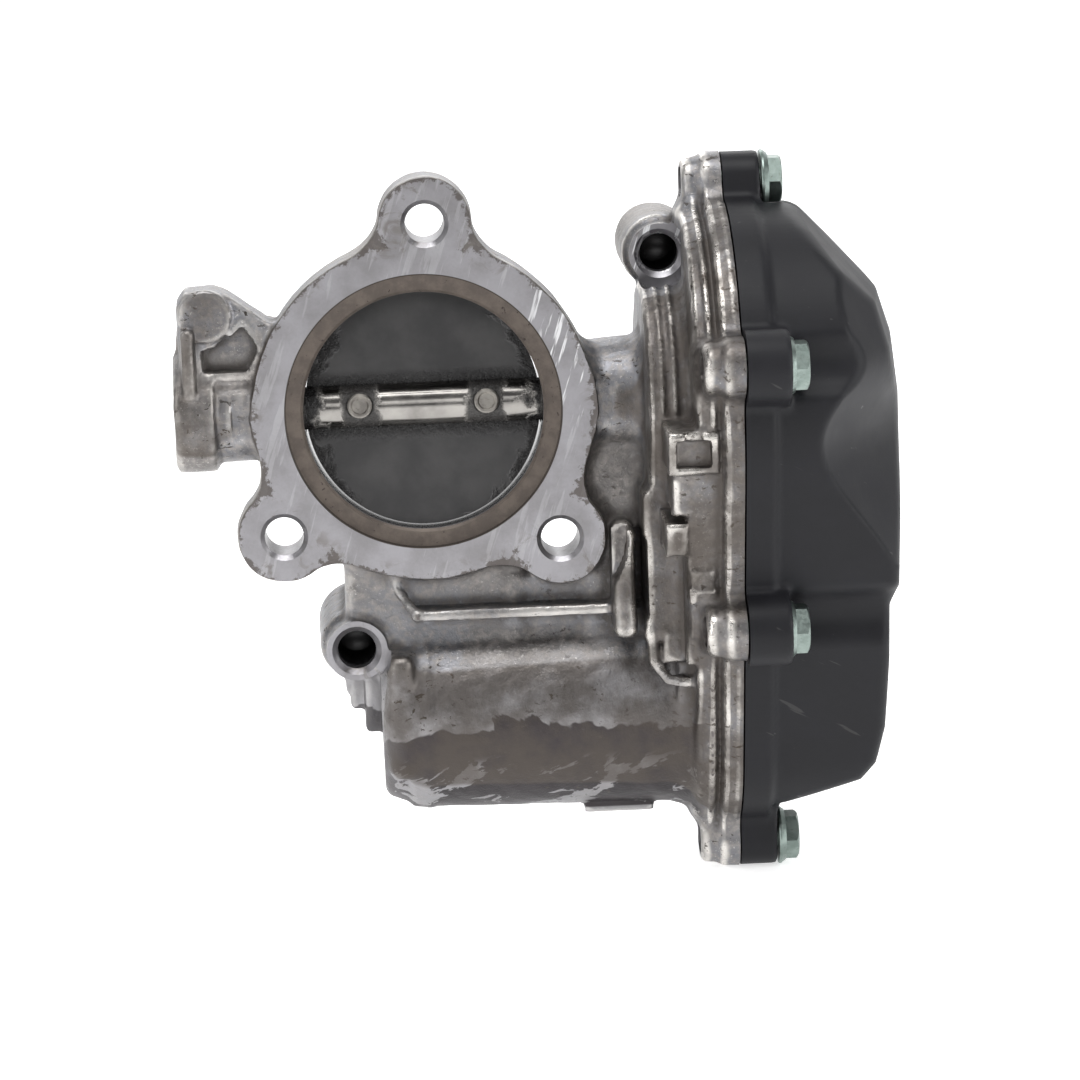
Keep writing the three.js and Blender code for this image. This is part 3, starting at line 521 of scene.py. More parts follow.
def cast_housing():
    cast = Cast((LEFT_X, -44, housing_low.z), (SPLIT_X, 42, housing_high.z))
    add, carve = cast.add, cast.carve
    front, back = INLET_Y - 0.45, FLANGE_BACK

    # bore tube and inlet flange
    add(round_y(0, 0, back - 2, REAR_Y + 1.5, BODY_R, edge=0.3), 0)
    add(shape((-34, front, -34), (34, back, 43), lambda X, Y, Z: rounded(
        flange_outline(X, Z), np.maximum(front - Y, Y - back), 1.1)), 3.0)

    # left bearing boss and the blank lug above it
    add(round_x(LEFT_X, LEFT_X + 7.4, 0, 0, BEARING_R + 4.0, edge=0.9), 0)
    add(round_x(LEFT_X + 5, -BODY_R + 6, 0, 0, BEARING_R + 2.6, BEARING_R + 1.9), 1.0)
    lug = [(PAD.x - 4.4, 7), (PAD.x - 4.7, 20.5), (PAD.x - 3.2, 22.6), (PAD.x + 1.2, 22.9),
           (PAD.x + 3.6, 22.1), (-BODY_R + 2, 14.4), (-BODY_R + 2, 7)]
    add(prism("y", lug, PAD.front + 0.9, back, edge=0.9, corner=0.4), 1.4)
    pocket = [(PAD.x - 0.6, 8.6), (-BODY_R - 4.6, 8.6), (-BODY_R - 2.6, 12.6), (PAD.x + 6.6, 17.2),
              (PAD.x + 4.2, 15.2), (PAD.x + 1.5, 12.6), (PAD.x - 0.6, 12.2)]
    carve(prism("y", pocket, PAD.front - 1, PAD.front + 3.6, edge=0.2, corner=0.2), 0.5)
    add(round_y(PAD.x, PAD.z, PAD.front, PAD.front + 5, PAD.r, PAD.r + 0.3, edge=0.6), 0.4)
    add(block(PAD.x - 4.5, PAD.x - 2.0, -10.6, -2, 3.6, PAD.z - 2, edge=1.1), 0.6)
    for a, b in zip(pocket[1:4], pocket[2:5]):
        add(bead([(a[0], PAD.front + 0.9, a[1]), (b[0], PAD.front + 0.9, b[1])], 0.4), 0.5)

    # right bearing barrel and the spring drum, with its rings
    add(round_x(BODY_R - 6, TUB_X + 2, 1.6, 0, BEARING_R + 3.0, BEARING_R + 4.0), 3.0)
    rings = [(TUB_X + 0.5, 0.3), (TUB_X + 2.5, 0.5), (TUB_X + 4.7, 0.6), (TUB_X + 7.2, 0.5)]

    def drum(X, Y, Z):
        r = TUB_R - 0.5 + 0.055 * (X - TUB_X)
        for x, h in rings:
            r = r + h * np.exp(-((X - x) / 0.62) ** 2)
        return rounded(np.hypot(Y, Z) - r, np.maximum(TUB_X - X, X - PLATE_X - 1), 1.2)
    add(shape((TUB_X, -22, -22), (PLATE_X + 1, 22, 22), drum), 2.2)

    # gear case: floor plate, sealing rim with its steps, and the screw lugs
    spread = hull([(0, 0, TUB_R - 2), (MIDDLE.y, MIDDLE.z, 16), (MOTOR.y, MOTOR.z, BARREL_R)])
    add(prism("x", spread, PLATE_X - 5, PLATE_X + 1, edge=1.2), 2.5)

    def rim(X, Y, Z):
        side = outline_distance(hull(CASE, 3.2), Y, Z)
        ridged = np.clip(np.clip(Z / 3 + 1, 0, 1) + np.clip(-14 - Z / 3, 0, 1) + np.clip(Y / 3, 0, 1), 0, 1)
        for x, h in ((SPLIT_X - 5.3, 0.9), (SPLIT_X - 0.9, 0.35)):
            side = side - h * ridged * np.exp(-((X - x) / 0.6) ** 2)
        side = side - 2.1 * np.clip((X - SPLIT_X + 3.9) / 0.7, 0, 1)
        return rounded(side, np.maximum(PLATE_X - 1.4 - X, X - SPLIT_X - 1.5), 0.9)
    add(shape((PLATE_X - 1.4, -44, -84), (SPLIT_X + 1.5, 44, 40), rim), 1.6)
    for screw in SCREWS:
        add(prism("x", lug_outline(screw, -0.7), PLATE_X - 0.6, SPLIT_X + 1.5, edge=1.4), 3.4)
        add(prism("x", lug_outline(screw, -0.1), SPLIT_X - 3.2, SPLIT_X + 1.5, edge=0.6), 1.6)

    # motor barrel, drawn wider towards the gear case
    add(round_x(BARREL_X, BARREL_X + 9, MOTOR.y, MOTOR.z, BARREL_R - 3.6, BARREL_R - 0.4, edge=1.4), 1.0)
    add(round_x(BARREL_X + 4.6, PLATE_X + 2, MOTOR.y, MOTOR.z, BARREL_R - 1.1, BARREL_R, edge=1.0), 0.8)
    add(block(BARREL_X + 1, BARREL_X + 6, MOTOR.y - 17.2, MOTOR.y + 4, MOTOR.z - 9, MOTOR.z + 14, 2.0), 1.5)
    add(block(*FOOT_X, MOTOR.y - 7, MOTOR.y + 3, MOTOR.z - BARREL_R - 0.8, MOTOR.z - 12, edge=0.4), 0.4)
    top = MOTOR.z + BARREL_R
    barrel_front = MOTOR.y - BARREL_R
    add(round_x(PLATE_X - 4, PLATE_X + 1, MOTOR.y, MOTOR.z, BARREL_R - 1, BARREL_R + 3.4), 3.0)

    # webs between bore, barrel and drum, and the long rib on the barrel
    for sides, edge, r in [
            ((-15.5, BORE_R - 5, INLET_Y + 5.4, REAR_Y - 3, top - 4, -BODY_R + 10), 1.6, 2.4),
            ((BORE_R - 8, TUB_X + 2, INLET_Y + 5.4, 3.5, top - 4, -31.5), 1.2, 1.6),
            ((BORE_R - 8, TUB_X + 2, 0, REAR_Y - 5, top - 4, -35.2), 1.6, 1.6),
            ((BARREL_X - 2.6, -10, -1, REAR_Y - 5, top - 5, -26), 2.0, 2.0),
            ((BODY_R + 2.4, TUB_X + 2, INLET_Y + 4.9, REAR_Y - 5, top - 4, -8), 1.4, 2.6),
            ((BARREL_X + 6.2, TUB_X - 5.4, barrel_front + 4.6, MOTOR.y - 2, top + 0.9, top + 2.9), 0.8, 0.7)]:
        add(block(*sides, edge), r)
    add(bead([(-6.4, INLET_Y + 5.4, -31), (-6.0, INLET_Y + 5.2, -33.5), (-4.9, INLET_Y + 4.6, -35.0),
              (-2.6, barrel_front + 5.0, top + 1.9)], 0.8), 0.8)

    # upright rib with a bright cap, and the dark slot beside it
    rib_x = TUB_X - 4.7
    add(block(rib_x - 2.1, rib_x + 2.1, barrel_front - 1.4, 6, top - 2.6, 1.8 - TUB_R - 2.6, edge=1.7), 0.9)
    add(block(TUB_X - 1.2, PLATE_X + 1, barrel_front - 2, 8, top - 3, 6 - TUB_R, edge=1.2), 1.6)
    add(block(TUB_X - 1.0, TUB_X + 1.2, barrel_front - 5.0, 0, -TUB_R + 2, -TUB_R - 8, edge=0.9), 1.2)
    carve(block(rib_x + 2.0, TUB_X - 0.7, barrel_front - 6, 1, top + 1.2, -TUB_R - 2.6, edge=0.8), 0.6)

    # pads, steps and a shallow window on the front of the gear case
    add(case_side(-12.4, -3.0, -17.0, -1.2, 3.1, edge=1.0), 1.2)
    add(case_side(-9.9, -3.0, -46, -15, 3.1, edge=1.0), 1.0)
    add(case_side(-13.2, -4.2, -8.9, -1.2, 4.3, edge=0.7), 0.5)
    carve(case_side(-11.7, -5.7, -7.4, -2.8, 9, floor=2.7, edge=0.5), 0.3)
    carve(case_side(-10.2, -7.2, -4, 0, 9, floor=3.6, edge=0.5), 0.3)
    add(case_side(-13.6, -9.6, -24.4, -18.2, 3.9, edge=0.9), 0.6)
    add(case_side(-9.4, -4.8, -40.6, -27, 4.1, edge=0.9), 0.5)
    add(case_side(-9.6, -4.6, -33.6, -30.6, 4.9, edge=0.9), 0.6)
    face = barrel_front - 2
    add(block(TUB_X + 1.6, TUB_X + 6.6, face - 0.6, face + 4, -46.6, -40.4, edge=0.9), 0.6)
    add(bead([(TUB_X - 0.2, face + 1.4, -41.0), (TUB_X + 0.2, face + 0.6, -46.4),
              (TUB_X + 2.4, face + 0.2, -49.6), (TUB_X + 5.0, face, -50.2),
              (PLATE_X + 2, face, -50.2)], 1.0), 1.0)

    # bolt tubes and bosses
    for tube in (RIGHT_TUBE, LOWER_TUBE, REAR_BOSS):
        add(round_y(tube.x, tube.z, tube.front - 0.8, REAR_Y + 1.5, 5.45, 6.0, edge=0.4), 1.4)
    r, t = RIGHT_TUBE, LOWER_TUBE
    add(round_y(r.x, r.z, r.front + 2.2, REAR_Y - 1, 6.6, 6.9, edge=0.8), 1.2)
    add(block(r.x, PLATE_X + 2, r.front + 2.6, REAR_Y - 1, TUB_R - 5, r.z + 5.2, edge=1.0), 1.2)
    add(bead([(r.x + 3, r.front + 2.4, r.z + 4.6), (PLATE_X - 1.6, r.front + 2.4, r.z + 4.6),
              (PLATE_X - 0.6, r.front + 2.4, r.z + 3.4), (PLATE_X + 0.4, -2, r.z - 8)], 0.7), 0.7)
    sweep = [(r.x + 8.6 * math.cos(a), r.front + 0.6, r.z + 8.6 * math.sin(a))
             for a in np.radians(np.linspace(-108, -18, 8))]
    add(bead(sweep, 0.75), 0.9)
    add(round_y(t.x, t.z, t.front + 4.4, REAR_Y - 1, 6.5, 6.9, edge=1.0), 1.2)
    add(block(t.x - 2.4, BARREL_X + 4, t.front + 8, REAR_Y - 2, MOTOR.z + 4, t.z + 3, edge=1.2), 2.0)
    add(block(t.x - 1.6, t.x + 2.4, 2, 10, MOTOR.z + 1.6, t.z - 4, edge=0.9), 0.6)
    add(block(t.x + 1.0, BARREL_X + 1.5, 0, 10, MOTOR.z - 2.6, t.z - 4, edge=1.1), 0.6)
    add(prism("y", hull([(REAR_BOSS.x, REAR_BOSS.z, 3.6), (-BORE_R + 1, 4, 7.6)]), REAR_Y - 9,
              REAR_Y + 1.5, edge=0.8), 1.5)
    add(prism("y", hull([(0, top - 1, 7), (0, -20, 10)]), REAR_Y - 6, REAR_Y - 1, edge=1.0), 2.0)
    # step round the flange, down to the height of its machined face
    carve(shape((-34, front - 4, -34), (34, INLET_Y + 2.4, 43), lambda X, Y, Z: np.maximum(
        np.maximum(0.35 - flange_outline(X, Z), flange_outline(X, Z) - 3.5), Y - INLET_Y - 0.7)), 0.4)
    return cast


def housing():
    cast = cast_housing()
    cast.unevenness(0.16, 9, 3)
    cast.unevenness(0.10, 3.4, 5)
    piece = cast.piece()
    bore = [(INLET_Y - 3, 0), (INLET_Y - 3, BORE_R + 3.2), (INLET_Y + 0.7, BORE_R + 3.2),
            (INLET_Y + 0.8, BORE_R + 3.0), (INLET_Y + 0.8, BORE_R + 0.5), (INLET_Y + 1.3, BORE_R),
            (REAR_Y - 0.6, BORE_R), (REAR_Y + 0.2, BORE_R + 0.8), (REAR_Y + 3, BORE_R + 0.8),
            (REAR_Y + 3, 0)]
    tools = [
        turned(bore, "y", segments=160),
        pushed("y", rectangle(-FAR, PLATE_X - 1.6, MOTOR.z + 7.3, FAR), REAR_Y, REAR_Y + 3),
        rod(FLANGE_R + 1, INLET_Y - 4, INLET_Y, "y", segments=128),
        pushed("x", rectangle(-FAR, FAR, -2 * FAR, 2 * FAR), SPLIT_X, SPLIT_X + 10),
        pushed("x", CASE_LINE, FLOOR_X, SPLIT_X + 2),
        rod(POCKET_R, DRUM_X, FLOOR_X + 0.5, "x"),
        turned([(LEFT_X - 4, 0), (LEFT_X - 4, BEARING_R + 1.2), (LEFT_X, BEARING_R + 1.2),
                (LEFT_X + 0.9, BEARING_R + GAP), (-BODY_R + 1, BEARING_R + GAP),
                (-BODY_R + 1, SHAFT_R + GAP), (BODY_R - 1, SHAFT_R + GAP),
                (BODY_R - 1, BEARING_R + GAP), (FLOOR_X, BEARING_R + GAP), (FLOOR_X, 0)], "x"),
        rod(MOTOR_R + GAP, BARREL_X + 2, FLOOR_X + 0.5, "x", MOTOR),
        pushed("z", rectangle(FOOT_X[0] - 1, FOOT_X[1] + 1, MOTOR.y - 9, MOTOR.y + 5),
               MOTOR.z - BARREL_R - 4, MOTOR.z - BARREL_R - 0.2),
    ]
    for x, z in BOLTS:
        s = (BORE_R - 1.5) / math.hypot(x, z)
        tools.append(pushed("y", hull([(x, z, EAR_R + 1), (x * s, z * s, 14)]), INLET_Y - 4, INLET_Y))
        tools.append(turned([(INLET_Y - 2, 0), (INLET_Y - 2, BOLT_R + 0.8), (INLET_Y, BOLT_R + 0.8),
                             (INLET_Y + 0.8, BOLT_R), (FLANGE_BACK + 2, BOLT_R), (FLANGE_BACK + 2, 0)],
                            "y", (x, 0, z), 64))
    for tube in (RIGHT_TUBE, LOWER_TUBE):
        face = tube.front
        tools.append(turned([(face - 9, 0), (face - 9, 6.2), (face, 6.2), (face, TUBE_R + 1),
                             (face + 1.0, TUBE_R), (face + 15, TUBE_R), (face + 16.5, 0)],
                            "y", (tube.x, 0, tube.z), 64))
    tools.append(turned([(REAR_BOSS.front + 6, 0), (REAR_BOSS.front + 8, 2.5), (REAR_Y - 0.5, 2.5),
                         (REAR_Y + 1, 4), (REAR_Y + 1, 0)], "y", (REAR_BOSS.x, 0, REAR_BOSS.z), 48))
    tools += [rod(SCREW_R + GAP, PLATE_X - 4, SPLIT_X + 1, "x", screw, 32) for screw in SCREWS]
    tools += [rod(1.5, FLOOR_X - 8.5, FLOOR_X + 1, "x", node_centre(f"motor_screw_{i}"), 32) for i in (1, 2)]
    tools.append(rod(PIN_R, PLATE_X - 4, FLOOR_X + 4, "x", MIDDLE, 32))
    cut(piece, tools)
    grooves = [
        cut(pushed("x", hull(CASE, 4.2), gasket_low.x - GAP, SPLIT_X + 1),
            [pushed("x", hull(CASE, 1.6), gasket_low.x - 2, SPLIT_X + 2)]),
        cut(rod(SEAL_R + 2, seal_low.y - GAP, REAR_Y + 1, "y", segments=128),
            [rod(SEAL_R, REAR_Y - 5, REAR_Y + 2, "y", segments=128)]),
    ]
    cut(piece, grooves)
    hub = turned([(FLOOR_X - 0.5, 0), (FLOOR_X - 0.5, 4.6), (FLOOR_X + 3, 4.2), (FLOOR_X + 3, 0)],
                 "x", MIDDLE, 48)
    cut(hub, [rod(PIN_R, FLOOR_X - 5, FLOOR_X + 5, "x", MIDDLE, 32)])
    orbit, arm, reach = POCKET_R + 4.5, 130, math.degrees(math.atan(2.5 / 23) + math.asin(3 / 23) + 0.3 / 23)
    posts = []
    for angle in np.radians((arm + reach, arm - 80 - reach)):
        y, z = orbit * math.cos(angle), orbit * math.sin(angle)
        posts.append(turned([(FLOOR_X - 2, 0), (FLOOR_X - 2, 3), (gear_high.x - 2.6, 3),
                             (gear_high.x - 2, 2.4), (gear_high.x - 2, 0)], "x", Vector((0, y, z)), 48))
    combine(piece, [hub] + posts, "UNION")
    return piece, cast


# ---------------------------------------------------------------- gear cover

BOARD_LOW, BOARD_HIGH = node_box("sensor_board")
SOCKET_X = BOARD_LOW.x - 2.0
SOCKET_Z = -15.0
SOCKET_FLOOR = 33
COVER_WALL = 2.6


def eased(Z, heights, places):
    """Smooth line through places at the given heights."""
    even = np.linspace(heights[0], heights[-1], 240)
    values = np.interp(even, heights, places)
    for _ in range(3):
        values = np.convolve(np.pad(values, 4, mode="edge"), np.ones(9) / 9, mode="valid")
    return np.interp(Z, even, values)


def dome(X, Y, Z):
    """Distance to the dome of the cover."""
    crease = eased(Z, [-40, -26.5, -18.6, -13.8, -8.4, -4.3, 0, 3, 7, 10, 14.6, 20, 25, 36],
                   [90, 82.6, 77.0, 73.5, 70.8, 70.1, 71.4, 73.6, 76.0, 76.0, 74.5, 72.2, 71.0, 69.0])
    case = outline_distance(hull(CASE, 4.4), Y, Z)
    outline = [(SPLIT_X - 8, 34.7), (66.4, 34.7), (82.0, 17.7), (84.4, 9.8), (85.6, -1), (85.8, -20),
               (85.4, -32.0), (83.6, -36.0), (83.4, -46), (82.4, -60), (80.6, -67), (78.0, -70.4),
               (64.0, -75.4), (SPLIT_X - 8, -77)]
    side = outline_distance(outline, X + 0.13 * np.maximum(-Y, 0), Z) - 0.6
    slope = (X - crease) * 0.84 - (Y + 31.4 - 0.0075 * (Z - 2) ** 2) * 0.54
    slope = slope - 30 * np.clip((-28 - Z) / 8, 0, 1)
    back = (X - 76.0) * 0.66 + (Y - 24.0) * 0.75
    return rounded(rounded(rounded(case, side, 1.6), slope, 0.7), back, 3.0)


def beside(screw):
    """True for a screw on the front or rear side of the cover."""
    nearest = nearest_circle(screw)
    return abs(screw.y - nearest[0]) > abs(screw.z - nearest[1])


def cast_cover():
    cast = Cast((COVER_X, cover_low.y, cover_low.z), (DOME_X, cover_high.y, cover_high.z))
    low, high, base = (COVER_X - 1.5, -34, -80), (DOME_X, 34, 38), COVER_X - 1.5
    cast.add(shape(low, high, lambda X, Y, Z: np.maximum(dome(X, Y, Z), base - X)), 0)
    for screw in SCREWS:
        cast.carve(round_x(FLANGE_TOP - 2, DOME_X + 8, screw.y, screw.z, 6.0, 6.6, edge=1.0), 1.4)
    cast.add(prism("x", hull(CASE, 5.5), base, FLANGE_TOP - 1.4, edge=0.9), 1.2)
    cast.add(prism("x", hull(CASE, 3.6), base, FLANGE_TOP + 0.4, edge=0.9), 0.8)
    for screw in SCREWS:
        cast.add(prism("x", lug_outline(screw), base, FLANGE_TOP, edge=0.6), 1.2)
        if beside(screw):
            cast.add(prism("x", lug_outline(screw, 1.1), base, FLANGE_TOP + 1.0, edge=0.7), 1.2)
    x, z = SOCKET_X, SOCKET_Z
    shroud = rectangle(x - 6, x + 6, z - 11, z + 11)
    cast.add(prism("y", shroud, 18, cover_high.y, edge=0.5, corner=1.5), 1.6)
    cast.add(prism("y", shroud, 29.5, SOCKET_FLOOR, edge=0.6, corner=2.4), 0.8)
    cast.add(block(x + 6.6, x + 8.6, 36, 42, z - 3.5, z + 3.5, edge=0.6), 0.5)
    cast.carve(shape(low, high, lambda X, Y, Z: np.maximum(
        dome(X, Y, Z) + COVER_WALL, outline_distance(CASE_LINE, Y, Z))), 0.3)
    return cast


def cover():
    cast = cast_cover()
    cast.unevenness(0.05, 12, 8)
    piece = cast.piece()
    x, z = SOCKET_X, SOCKET_Z
    tools = [
        pushed("x", rectangle(-FAR, FAR, -2 * FAR, 2 * FAR), COVER_X - 10, COVER_X),
        pushed("x", CASE_LINE, COVER_X - 5, FLANGE_TOP),
        pushed("y", rectangle(x - 5.7, x + 5.7, z - 10.7, z + 10.7), SOCKET_FLOOR, cover_high.y + 5),
    ]
    for i in range(1, 6):
        low, high = node_box(f"connector_terminal_{i}")
        tools.append(pushed("y", rectangle(x - 0.7, x + 0.7, low.z - GAP, high.z + GAP), 5, SOCKET_FLOOR + 1))
    for screw in SCREWS:
        tools.append(turned([(COVER_X - 5, 0), (COVER_X - 5, SCREW_R + GAP), (FLANGE_TOP, SCREW_R + GAP),
                             (FLANGE_TOP, 5.7), (FLANGE_TOP + 2, 5.7), (FLANGE_TOP + 2, 0)], "x", screw, 48))
    cut(piece, tools)
    pin_end = node_box("gear_pin")[1].x
    boss = turned([(pin_end - 5, 0), (pin_end - 5, 4.2), (pin_end - 4.7, 4.5), (DOME_TOP, 4.5),
                   (DOME_TOP, 0)], "x", MIDDLE, 48)
    cut(boss, [rod(PIN_R, pin_end - 8, pin_end + 1, "x", MIDDLE, 32)])
    posts = [rod(1.8, BOARD_HIGH.x + GAP, DOME_TOP, "x", Vector((0, BOARD_LOW.y + 3, z)), 24)
             for z in (BOARD_HIGH.z - 5, BOARD_LOW.z + 4)]
    return combine(piece, [boss] + posts, "UNION")


# ---------------------------------------------------------------- turned and fitted pieces

def hexagon(y, z, across):
    r = across / 2 / math.cos(math.pi / 6)
    return [(y + r * math.cos(math.pi * i / 3), z + r * math.sin(math.pi * i / 3)) for i in range(6)]


def cover_screw(screw):
    """Hexagon flange screw: dished washer face, chamfered hexagon and a shallow hollow on top."""
    seat = FLANGE_TOP + GAP
    head = pushed("x", hexagon(screw.y, screw.z, 8.0), seat + 0.6, seat + 3.8)
    combine(head, [turned([(seat, 0), (seat, 4.75), (seat + 3.2, 4.75), (seat + 3.8, 3.9),
                           (seat + 3.8, 3.3), (seat + 3.4, 2.9), (seat + 3.3, 0)],
                          "x", screw, 72)], "INTERSECT")
    rest = turned([(seat - 12, 0), (seat - 12, SCREW_R - 0.4), (seat - 11.4, SCREW_R), (seat, SCREW_R),
                   (seat, 5.2), (seat + 0.2, 5.35), (seat + 0.5, 5.35), (seat + 0.8, 5.1),
                   (seat + 1.35, 4.7), (seat + 1.5, 3.6), (seat + 1.5, 0)], "x", screw, 72)
    return combine(head, [rest], "UNION")


def leant(piece, x=0.0):
    """Leans a piece drawn square to the plate into the plate's closed position."""
    piece.data.transform(Matrix.Translation((x, 0, 0)) @ Matrix.Rotation(math.radians(CLOSED_TILT), 4, "X"))
    return piece


PLATE_T = 1.8
PLATE_HOLE_R = 1.8
SCREW_X = node_centre("plate_screw_2").x   # the plate screws stand at plus and minus this


def plate_screw(x):
    seat = 0.5 - SHAFT_R - GAP
    return leant(turned([
        (seat - 1.0, 0), (seat - 0.95, 1.35), (seat - 1.2, 1.6), (seat - 1.2, 1.95), (seat - 1.0, 2.2),
        (seat, 2.2), (seat, 1.5), (SHAFT_R - 1.3, 1.5), (SHAFT_R - 1.0, 1.2), (SHAFT_R - 1.0, 0)],
        "y", segments=48), x)


def throttle_shaft():
    """Shaft with its slot for the plate, and a flat seat and a hole for each plate screw."""
    low, high = shaft_low.x, shaft_high.x
    piece = turned([(low, 0), (low, 3.4), (low + 0.6, SHAFT_R), (high - 0.6, SHAFT_R), (high, 3.4),
                    (high, 0)], "x")
    slot = PLATE_T / 2 + GAP
    combine(piece, [leant(pushed("x", rectangle(-slot, slot, -8, 8), -BORE_R - GAP, BORE_R + GAP))],
            "DIFFERENCE")
    for x in (-SCREW_X, SCREW_X):
        seat = 0.5 - SHAFT_R
        tool = turned([(-9, 0), (-9, 2.5), (seat, 2.5), (seat, PLATE_HOLE_R), (9, PLATE_HOLE_R), (9, 0)],
                      "y", segments=48)
        combine(piece, [leant(tool, x)], "DIFFERENCE")
    return piece


def throttle_plate():
    """Slice of the bore, square to the plate's own direction, so that it closes the bore at a lean."""
    piece = leant(pushed("y", rectangle(-40, 40, -40, 40), -PLATE_T / 2, PLATE_T / 2))
    combine(piece, [rod(BORE_R - GAP, -12, 12, "y", segments=192)], "INTERSECT")
    for x in (-SCREW_X, SCREW_X):
        combine(piece, [leant(rod(PLATE_HOLE_R, -9, 9, "y", segments=32), x)], "DIFFERENCE")
    return piece


def seal_ring(y0, y1, inner, outer, edge, segments):
    """Ring round the bore with broken edges."""
    profile = [(y0, inner + edge), (y0, outer - edge), (y0 + edge, outer), (y1 - edge, outer),
               (y1, outer - edge), (y1, inner + edge), (y1 - edge, inner), (y0 + edge, inner)]
    points, faces, n = [], [], len(profile)
    for i in range(segments):
        angle, j = 2 * math.pi * i / segments, (i + 1) % segments
        points += [(r * math.sin(angle), y, r * math.cos(angle)) for y, r in profile]
        faces += [(i * n + k, i * n + (k + 1) % n, j * n + (k + 1) % n, j * n + k) for k in range(n)]
    return outward(new_piece(points, faces))


def return_spring():
    """Torsion spring round the shaft, whose last leg hooks the sector gear."""
    low, high = node_box("return_spring")
    wire, mean = 0.8, (high.z - low.z) / 2 - 0.8
    turns, steps, sides, arm = 5, 72, 16, math.radians(130)
    start, stop = DRUM_X + 1.8, SPLIT_X + 2 - 2 * wire
    count = turns * steps
    path = []
    for i in range(count + 1):
        a = arm - 2 * math.pi * (count - i) / steps
        path.append(Vector((start + (stop - start) * i / count, mean * math.cos(a), mean * math.sin(a))))
    a = arm + math.radians(6)
    leg = Vector((0, mean * math.cos(a), mean * math.sin(a)))
    last = Vector((0, path[count].y, path[count].z))
    for t in np.linspace(0, 1, 7)[1:]:
        path.append(Vector((stop + 2 * wire * t * t, 0, 0)) + leg * t + last * (1 - t))
    path.append(leg + Vector((gear_high.x - 8 - GAP, 0, 0)))
    points, faces = [], []
    normal = Vector((1, 0, 0))
    for i, p in enumerate(path):
        t = (path[min(i + 1, len(path) - 1)] - path[max(i - 1, 0)]).normalized()
        normal = (normal - t * normal.dot(t)).normalized()
        other = t.cross(normal)
        for k in range(sides):
            b = 2 * math.pi * k / sides
            points.append(p + normal * wire * math.cos(b) + other * wire * math.sin(b))
        if i:
            for k in range(sides):
                m = (k + 1) % sides
                faces.append(((i - 1) * sides + k, (i - 1) * sides + m, i * sides + m, i * sides + k))
    faces += [tuple(range(sides)), tuple(len(points) - 1 - k for k in range(sides))]
    return outward(new_piece(points, faces))


# ---------------------------------------------------------------- materials

